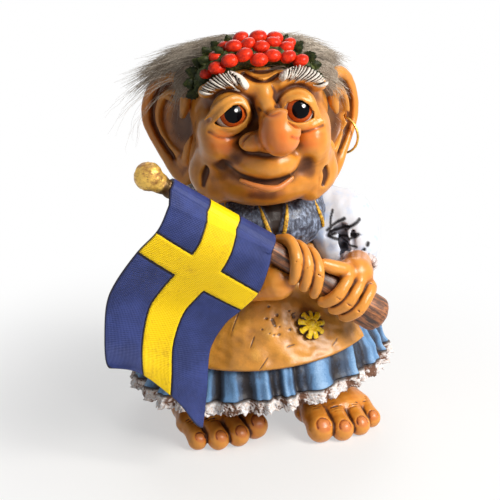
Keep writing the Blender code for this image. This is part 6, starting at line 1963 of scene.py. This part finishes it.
def strand_tree():
    """Grows many thin strands from each guide line."""
    nodes, inputs = geometry_tree("troll_strands", Copies="Int", Spread="Float", Fraying="Float",
                                  Thickness="Float")
    curve = nodes.add("GeometryNodeMeshToCurve", inputs={"Mesh": inputs["Geometry"]})
    many = nodes.add("GeometryNodeDuplicateElements", {"domain": "SPLINE"},
                     {"Geometry": curve, "Amount": inputs["Copies"]})
    share = nodes.add("GeometryNodeSplineParameter")

    def per_strand(extra):
        return nodes.add("GeometryNodeFieldOnDomain", {"data_type": "FLOAT_VECTOR", "domain": "CURVE"},
                         {0: chance(nodes, inputs["Seed"] + extra)})

    # each strand stands off its guide, frays towards its tip and has kinks of its own
    root = nodes.scaled(per_strand(0.0), inputs["Spread"])
    loose = nodes.scaled(per_strand(7.0), inputs["Fraying"] * share * share)
    own = nodes.add("ShaderNodeSeparateXYZ", inputs={0: per_strand(3.0)}) * 9.0
    kink = nodes.add("ShaderNodeTexNoise", {"noise_dimensions": "4D"},
                     {"Vector": nodes.add("GeometryNodeInputPosition"), "Scale": STRAND_KINK, "Detail": 1.0,
                      "W": own},
                     output="Color")
    bent = nodes.scaled(nodes.vector("SUBTRACT", kink, (0.5, 0.5, 0.5)), share * inputs["Spread"] * 2.4)
    total = nodes.vector("ADD", nodes.vector("ADD", root, loose), bent)
    moved = nodes.add("GeometryNodeSetPosition", inputs={"Geometry": many, "Offset": total})
    ring = nodes.add("GeometryNodeCurvePrimitiveCircle", {"mode": "RADIUS"}, {"Resolution": 3, "Radius": 1.0})
    strands = nodes.add("GeometryNodeCurveToMesh", inputs={
        "Curve": moved, "Profile Curve": ring, "Fill Caps": True,
        "Scale": inputs["Thickness"] * (1.0 - share * share * STRAND_TAPER)})
    return close_tree(nodes, inputs, strands)


def grow_strands(name, tree, guides, copies, spread, fraying, thickness, material):
    """Strands round guide lines; the lines and sizes in millimetres in the figure's frame."""
    steps = guides.shape[1]
    edges = [(g * steps + k, g * steps + k + 1) for g in range(len(guides)) for k in range(steps - 1)]
    return grow(name, point_mesh(name, in_metres(guides.reshape(-1, 3)), edges), tree,
                {"Copies": copies, "Spread": spread * MM, "Fraying": fraying * MM,
                 "Thickness": thickness * MM,
                 "Seed": 1, "Material": material})


FUR_CENTRE, FUR_RADII = np.array((0, 3.5, 3.5)), np.array((33.0, 34.0, 27.5))
BED_RADII, BED_INNER, BED_INNER_CENTRE = (33.2, 34.2, 27.7), (29.2, 30.2, 23.7), (0, 2, 4)
HAIRLINE = (21.5, 0.822, -24.0,
            0.569)      # Z and its share, Y and its share: a slanted plane behind the wreath


def behind_wreath(y, z):
    """How far a point of the head's frame lies behind the hairline."""
    high, up, front, back = HAIRLINE
    return (z - high) * up + (y - front) * back


def hair_skin():
    """Solid fur under the strands: the cap over the skull, behind the wreath."""
    clay = Clay((-42, -26, -24), (42, 42, 36), 0.7)
    clay.ball(FUR_CENTRE, BED_RADII, 1)
    clay.ball((-26, 0, 13), (11.5, 12.5, 8.6), 2, turn=(0, 40, 0))
    clay.ball((24.5, 0, 14), (10.5, 12.5, 8.2), 2, turn=(0, -40, 0))
    grids = np.meshgrid(*clay.axes, indexing="ij", sparse=True)
    inner = np.sqrt(sum(((axis - c) / r) ** 2 for axis, c, r in zip(grids, BED_INNER_CENTRE, BED_INNER)))
    for limit in (0.8 - behind_wreath(*grids[1:]), (1 - inner) * 25):
        clay.field = np.maximum(clay.field, limit.astype(np.float32))
    clay.roughen(4.0, 0.5, 95)
    points, faces = clay.skin()
    mesh = build_mesh("troll_fur_bed", points, faces, HEAD_PLACE)
    give(mesh, bed=np.ones(len(points)))
    return mesh


def cap_guides(count, seed):
    """Combed from the parting on top to both sides and the back."""
    random = np.random.RandomState(seed)
    lines = []
    while len(lines) < count:
        around, over = random.uniform(-math.pi, math.pi), math.acos(random.uniform(-0.45, 1.0))
        way = np.array((math.sin(over) * math.sin(around), -math.sin(over) * math.cos(around),
                        math.cos(over)))
        spot = FUR_CENTRE + way * FUR_RADII
        if behind_wreath(*spot[1:]) < 1.0 or (abs(spot[0]) > 27 and spot[1] < 12):
            continue
        side = 1 if spot[0] > 0 else -1
        comb = np.array((side * (1.1 + 0.4 * abs(spot[0]) / FUR_RADII[0]),
                         0.42 + 0.5 * step_up(spot[1], 5, 30), -0.30))
        comb -= way * (comb @ way)
        comb /= np.linalg.norm(comb) + CLOSE
        length, lift = random.uniform(11, 20), random.uniform(1.0, 4.6)
        line = []
        for k in range(7):
            line.append(spot + way * lift * math.sin(math.pi * min(1.0, k / 5.0) * 0.6))
            spot = spot + comb * length / 6
            offset = (spot - FUR_CENTRE) / FUR_RADII
            reach = np.linalg.norm(offset)
            way = offset / reach
            if reach > 0.9 and not (abs(spot[0]) > 25 and spot[2] < 18):
                spot = FUR_CENTRE + way * FUR_RADII
            comb = comb - way * (comb @ way) * 0.6 + np.array((0, 0.03, -0.10))
            comb /= np.linalg.norm(comb)
        lines.append(line)
    return to_figure(lines)


def to_figure(lines):
    """Lines of the head's frame, in the figure's."""
    move = np.array(HEAD_PLACE)
    return np.array(lines) @ move[:3, :3].T + move[:3, 3]


SWEEPS = {"right": (33.0, 15.0), "left": (17.0, 8.0)}      # how far out, how far down


def side_guides(side, count, seed):
    """Fur swept from the top out over an ear."""
    random = np.random.RandomState(seed)
    way = EAR_SIDE[side]
    reach, fall = SWEEPS[side]
    lines = []
    for _ in range(count):
        back, out, spread = random.uniform(-6, 19), random.uniform(6, 23), random.uniform(0.45, 1.0)
        height = 33.5 - 0.017 * out ** 2 - 0.010 * max(0.0, back) ** 2 - 0.05 * max(0.0, -back)
        lines.append([(way * (out + reach * t * spread), back + (4 + 6 * spread) * t,
                       height - fall * t ** 1.6 * spread + 2.6 * math.sin(2.6 * t))
                      for t in np.arange(7) / 6])
    return to_figure(lines)


BACK_ROWS = (
    # height, half width, depth of the fur down the back
    (84, 15, 32.5), (93, 27, 32.5), (106, 32, 33), (120, 33.5, 34.5), (133, 32, 36), (145, 26, 36.5),
    (153, 15, 36),
)


def back_guides(count, seed):
    """Long locks from the nape down the back."""
    random = np.random.RandomState(seed)
    heights, halves, depths = np.array(BACK_ROWS).T
    lines = []
    for _ in range(count):
        share = random.uniform(-1, 1)
        top, bottom = random.uniform(132, 152), random.uniform(84, 96) + 9 * share ** 2
        out, bend = random.uniform(-4.2, 5.4), random.normal(0, 1.2)
        line = []
        for t in np.arange(8) / 7:
            z = top + (bottom - top) * t
            x = share * np.interp(z, heights, halves) + bend * math.sin(3 * t)
            depth = np.interp(z, heights, depths)
            line.append((-1.5 + x, -2.0 + depth - x * x / 112 + out * (0.5 + 0.5 * t), z))
        lines.append(line)
    return np.array(lines)


STRAYS = (
    # points of single long hairs: X, Y, Z in the figure's frame
    ((-33, 2, 160), (-44, -4, 158), (-55, -8, 151), (-60, -10, 145)),
    ((-33, 6, 158), (-46, 2, 157), (-57, 0, 150), (-63, 0, 141)),
    ((-30, 10, 156), (-44, 8, 153), (-54, 8, 144), (-58, 8, 134)),
    ((-34, 0, 158), (-48, -6, 152), (-56, -8, 143), (-57, -8, 135)),
)


def stray_guides():
    """Single long hairs that stand away from the head."""
    return np.array([smooth_path(line, 3) for line in STRAYS])


FUR = (
    # piece, its guide lines, copies of each, spread, fraying and thickness in mm, node
    ("troll_fur_top", lambda: cap_guides(560, 1), 9, 1.4, 4.0, 0.11, "fur_cap"),
    ("troll_fur_right", lambda: side_guides("right", 330, 2), 8, 1.4, 6.5, 0.11, "fur_cap"),
    ("troll_fur_left", lambda: side_guides("left", 230, 3), 9, 1.4, 4.5, 0.11, "fur_cap"),
    ("troll_fur_strays", stray_guides, 4, 2.0, 5.0, 0.07, "fur_cap"),
    ("troll_fur_back", lambda: back_guides(560, 4), 6, 1.1, 2.6, 0.11, "fur_back"),
)


def fur_paint():
    paint = Finish("troll_fur_paint", 0.62, Specular_IOR_Level=0.2)
    streak = paint.noise(0.10, 4.0, 0.6)
    fine = paint.noise(0.9, 3.0, 0.7)
    paint.coat((streak * 0.5 + fine * 0.6).above(0.36, 0.74), (0.72, 0.64, 0.54), under=(0.24, 0.18, 0.13))
    paint.coat(fine.above(0.58, 0.72) * 0.7, (0.86, 0.80, 0.72))
    # solid bed under the strands painted dark: painted shade deep in the fur
    paint.coat(paint.value("bed") * 0.85, (0.17, 0.125, 0.09))
    return paint.done()


# Stage

def aim(item, target):
    item.rotation_euler = (Vector(target) - item.location).to_track_quat("-Z", "Y").to_euler()


CAMERA_TARGET = (-5.0, 0.0, 78.0)
FLOOR_RADIUS = 1500.0
FLOOR_GLOW, FLOOR_FADE = 0.52, (0.06,
                                0.20)     # own light near the figure, distance over which it turns white


def stage_camera(stage):
    camera = put_in_scene("troll_camera", bpy.data.cameras.new("troll_camera"))
    target = (Vector(CAMERA_TARGET) + SHIFT) * MM
    a, e = stage.azimuth, stage.elevation
    back = Vector((math.sin(a) * math.cos(e), -math.cos(a) * math.cos(e), math.sin(e)))
    camera.location = target + back * stage.distance
    aim(camera, target)
    camera.data.lens = stage.lens
    camera.data.sensor_width = 36.0
    bpy.context.scene.camera = camera


def stage_lamp(name, place, power, size, tint):
    lamp = bpy.data.lights.new(name, "AREA")
    lamp.shape = "RECTANGLE"
    lamp.size, lamp.size_y = size
    lamp.energy = power
    lamp.color = tint
    item = put_in_scene(name, lamp)
    item.location = place
    aim(item, (0.0, 0.0, 0.09))


def seen_rays(nodes):
    """1 for rays from the camera, from gloss and through glass."""
    path = nodes.add("ShaderNodeLightPath")
    outputs = path.socket.node.outputs
    seen = [Wire(nodes, outputs[name]) for name in ("Is Camera Ray", "Is Glossy Ray", "Is Transmission Ray")]
    return seen[0].most(seen[1]).most(seen[2])


def stage_world(strength):
    world = bpy.data.worlds.new("troll_room")
    bpy.context.scene.world = world
    world.use_nodes = True
    nodes = Nodes(world.node_tree)
    back = world.node_tree.nodes["Background"]
    back.inputs["Color"].default_value = (1, 1, 1, 1)
    seen = seen_rays(nodes)
    world.node_tree.links.new((seen * (1.0 - strength) + strength).socket, back.inputs["Strength"])


def stage_floor():
    """Round pale floor that keeps the figure's shadow and fades to white far out."""
    rings, turns = 24, 64
    angle = np.linspace(0, math.tau, turns, endpoint=False)
    points = [(0.0, 0.0, 0.0)]
    for r in range(1, rings + 1):
        radius = FLOOR_RADIUS * (r / rings) ** 2
        points += [(radius * math.cos(a), radius * math.sin(a), 0.0) for a in angle]
    faces = [(0, 1 + c, 1 + (c + 1) % turns) for c in range(turns)]
    faces += [face[::-1] for face in grid_faces(rings, turns, closed=True) + 1]
    mesh = build_mesh("troll_floor", points, faces)
    floor = put_in_scene("troll_floor", mesh)
    paint = Finish("troll_floor", 0.55)
    paint.put(Base_Color=(0.80, 0.79, 0.78))
    glow = paint.add("ShaderNodeEmission", inputs={"Color": (1, 1, 1, 1), "Strength": 1.0})
    away = paint.add("ShaderNodeVectorMath", {"operation": "LENGTH"}, {0: paint.place}, output="Value")
    share = (seen_rays(paint) * (FLOOR_GLOW + away.above(*FLOOR_FADE) * (1 - FLOOR_GLOW))).clamped()
    both = paint.add("ShaderNodeMixShader", inputs={0: share, 1: Wire(paint, paint.shader.outputs[0]),
                                                    2: glow})
    paint.tree.links.new(both.socket, paint.tree.nodes["Material Output"].inputs["Surface"])
    mesh.materials.append(paint.material)


LAMPS = (
    # name, place in metres, size, tint; the power of the first two is the user's
    ("troll_key", (0.42, -0.42, 0.52), (0.34, 0.34), (1.0, 0.97, 0.92)),
    ("troll_fill", (-0.55, -0.35, 0.30), (0.5, 0.5), (0.95, 0.97, 1.0)),
    ("troll_rim", (0.15, 0.55, 0.45), (0.4, 0.3), (1.0, 1.0, 1.0)),
)
RIM_LIGHT = 1.2


def build_stage():
    stage = bpy.context.scene.troll_stage
    bpy.context.scene.view_settings.view_transform = "Standard"
    stage_camera(stage)
    for (name, place, size, tint), power in zip(LAMPS, (stage.key_light, stage.fill_light, RIM_LIGHT)):
        stage_lamp(name, place, power, size, tint)
    stage_world(stage.room)
    stage_floor()


# Operators

class TROLL_OT_stage(Operator):
    """Camera, lamps, room and floor"""
    bl_idname = "troll.stage"
    bl_label = "Stage"

    def execute(self, context):
        build_stage()
        return {"FINISHED"}


class TROLL_OT_head(Operator):
    """Head with its brows and glass eyes"""
    bl_idname = "troll.head"
    bl_label = "Head"

    def execute(self, context):
        make_piece("troll_head", build_head(), skin_material(), ("head",))
        for side in SIDES:
            make_piece(f"troll_brow_{side}", build_brow(side), brow_paint())
            make_piece(f"troll_eye_{side}", build_eye(side), eye_glass(), (f"eye_{side}",))
        return {"FINISHED"}


class TROLL_OT_ears(Operator):
    """Both ears, and the hoop in the left one"""
    bl_idname = "troll.ears"
    bl_label = "Ears"

    def execute(self, context):
        for side in SIDES:
            make_piece(f"troll_ear_{side}", build_ear(side), skin_material(), (f"ear_{side}",))
        make_piece("troll_hoop", build_hoop(), hoop_brass(), ("earring",), body="earring")
        return {"FINISHED"}


class TROLL_OT_hands(Operator):
    """Both fists round the staff"""
    bl_idname = "troll.hands"
    bl_label = "Hands"

    def execute(self, context):
        for side in SIDES:
            make_piece(f"troll_hand_{side}", build_hand(side), skin_material(), (f"hand_{side}",))
        return {"FINISHED"}


class TROLL_OT_feet(Operator):
    """Bare feet with nails"""
    bl_idname = "troll.feet"
    bl_label = "Feet"

    def execute(self, context):
        for side in SIDES:
            make_piece(f"troll_foot_{side}", build_foot(side), skin_material(), (f"foot_{side}",))
        return {"FINISHED"}


class TROLL_OT_staff(Operator):
    """Staff and the worn ball on its tip"""
    bl_idname = "troll.staff"
    bl_label = "Staff"

    def execute(self, context):
        make_piece("troll_staff", build_staff(), staff_paint(), ("staff",))
        make_piece("troll_finial", build_finial(), finial_paint(), ("finial_ball",))
        return {"FINISHED"}


class TROLL_OT_flag(Operator):
    """Stiff flag wrapped round the staff"""
    bl_idname = "troll.flag"
    bl_label = "Flag"

    def execute(self, context):
        make_piece("troll_flag", build_flag(), flag_paint(), ("flag",))
        return {"FINISHED"}


class TROLL_OT_skirt(Operator):
    """Pleated skirt, its frill and the apron"""
    bl_idname = "troll.skirt"
    bl_label = "Skirt"

    def execute(self, context):
        make_piece("troll_skirt", build_skirt(), skirt_paint(), ("skirt",))
        make_piece("troll_frill", build_frill(), frill_paint(), ("hem_frill",))
        make_piece("troll_apron", build_apron(), apron_paint(), ("apron",))
        return {"FINISHED"}


class TROLL_OT_bodice(Operator):
    """Bodice with its neck and yellow trim"""
    bl_idname = "troll.bodice"
    bl_label = "Bodice"

    def execute(self, context):
        make_piece("troll_bodice", build_bodice(), bodice_paint(), ("bodice",))
        paint = trim_paint()
        for seed, (node, line) in enumerate(EDGINGS.items()):
            name = f"troll_{node}"
            make_piece(name, build_trim(name, line, seed), paint, (node,))
        return {"FINISHED"}


class TROLL_OT_sleeves(Operator):
    """Puffed sleeves and their cuffs"""
    bl_idname = "troll.sleeves"
    bl_label = "Sleeves"

    def execute(self, context):
        linen, band = sleeve_paint(), cuff_paint()
        for side in SIDES:
            make_piece(f"troll_sleeve_{side}", build_sleeve(side), linen, (f"sleeve_{side}",))
            make_piece(f"troll_cuff_{side}", build_cuff(side), band, (f"cuff_{side}",))
        return {"FINISHED"}


class TROLL_OT_flower(Operator):
    """Yellow flower on the apron"""
    bl_idname = "troll.flower"
    bl_label = "Flower"

    def execute(self, context):
        make_piece("troll_flower", build_flower(), flower_paint(), ("apron_flower",))
        return {"FINISHED"}


class TROLL_OT_wreath(Operator):
    """Wreath of leaves and berries"""
    bl_idname = "troll.wreath"
    bl_label = "Wreath"

    def execute(self, context):
        green, red = leaf_paint(), berry_paint()
        make_piece("troll_moss", build_moss(), green, ("leaf_wreath",))
        make_piece("troll_leaves", build_leaves(green), green, ("leaf_wreath",))
        make_piece("troll_berries", build_berries(red), red, BERRY_NODES)
        return {"FINISHED"}


class TROLL_OT_fur(Operator):
    """Fur on the head and down the back"""
    bl_idname = "troll.fur"
    bl_label = "Fur"

    def execute(self, context):
        fur, tree = fur_paint(), strand_tree()
        make_piece("troll_fur_bed", hair_skin(), fur, ("fur_cap",))
        for name, guides, copies, spread, fraying, thickness, node in FUR:
            mesh = grow_strands(name, tree, guides(), copies, spread, fraying, thickness, fur)
            make_piece(name, mesh, fur, (node,))
        return {"FINISHED"}


PROPERTIES = {"troll_skin": TrollSkin, "troll_dress": TrollDress, "troll_stage": TrollStage}
STEPS = (TROLL_OT_stage, TROLL_OT_head, TROLL_OT_ears, TROLL_OT_hands, TROLL_OT_feet, TROLL_OT_staff,
         TROLL_OT_flag,
         TROLL_OT_skirt, TROLL_OT_bodice, TROLL_OT_sleeves, TROLL_OT_flower, TROLL_OT_wreath, TROLL_OT_fur)


class TROLL_PT_panel(Panel):
    """Lists the figure's sizes, colours and building steps"""
    bl_idname = "TROLL_PT_panel"
    bl_label = "Troll Figurine"
    bl_space_type = "VIEW_3D"
    bl_region_type = "UI"
    bl_category = "Troll"

    def draw(self, context):
        for name, group in PROPERTIES.items():
            box = self.layout.box()
            for field in group.__annotations__:
                box.prop(getattr(context.scene, name), field)
        for step in STEPS:
            self.layout.operator(step.bl_idname)


def register():
    for item in (*PROPERTIES.values(), *STEPS, TROLL_PT_panel):
        bpy.utils.register_class(item)
    for name, group in PROPERTIES.items():
        setattr(bpy.types.Scene, name, PointerProperty(type=group))


def unregister():
    for name in PROPERTIES:
        delattr(bpy.types.Scene, name)
    for item in reversed((*PROPERTIES.values(), *STEPS, TROLL_PT_panel)):
        bpy.utils.unregister_class(item)


def main():
    register()
    for step in STEPS:
        group, name = step.bl_idname.split(".")
        getattr(getattr(bpy.ops, group), name)()


if __name__ == "__main__":
    main()
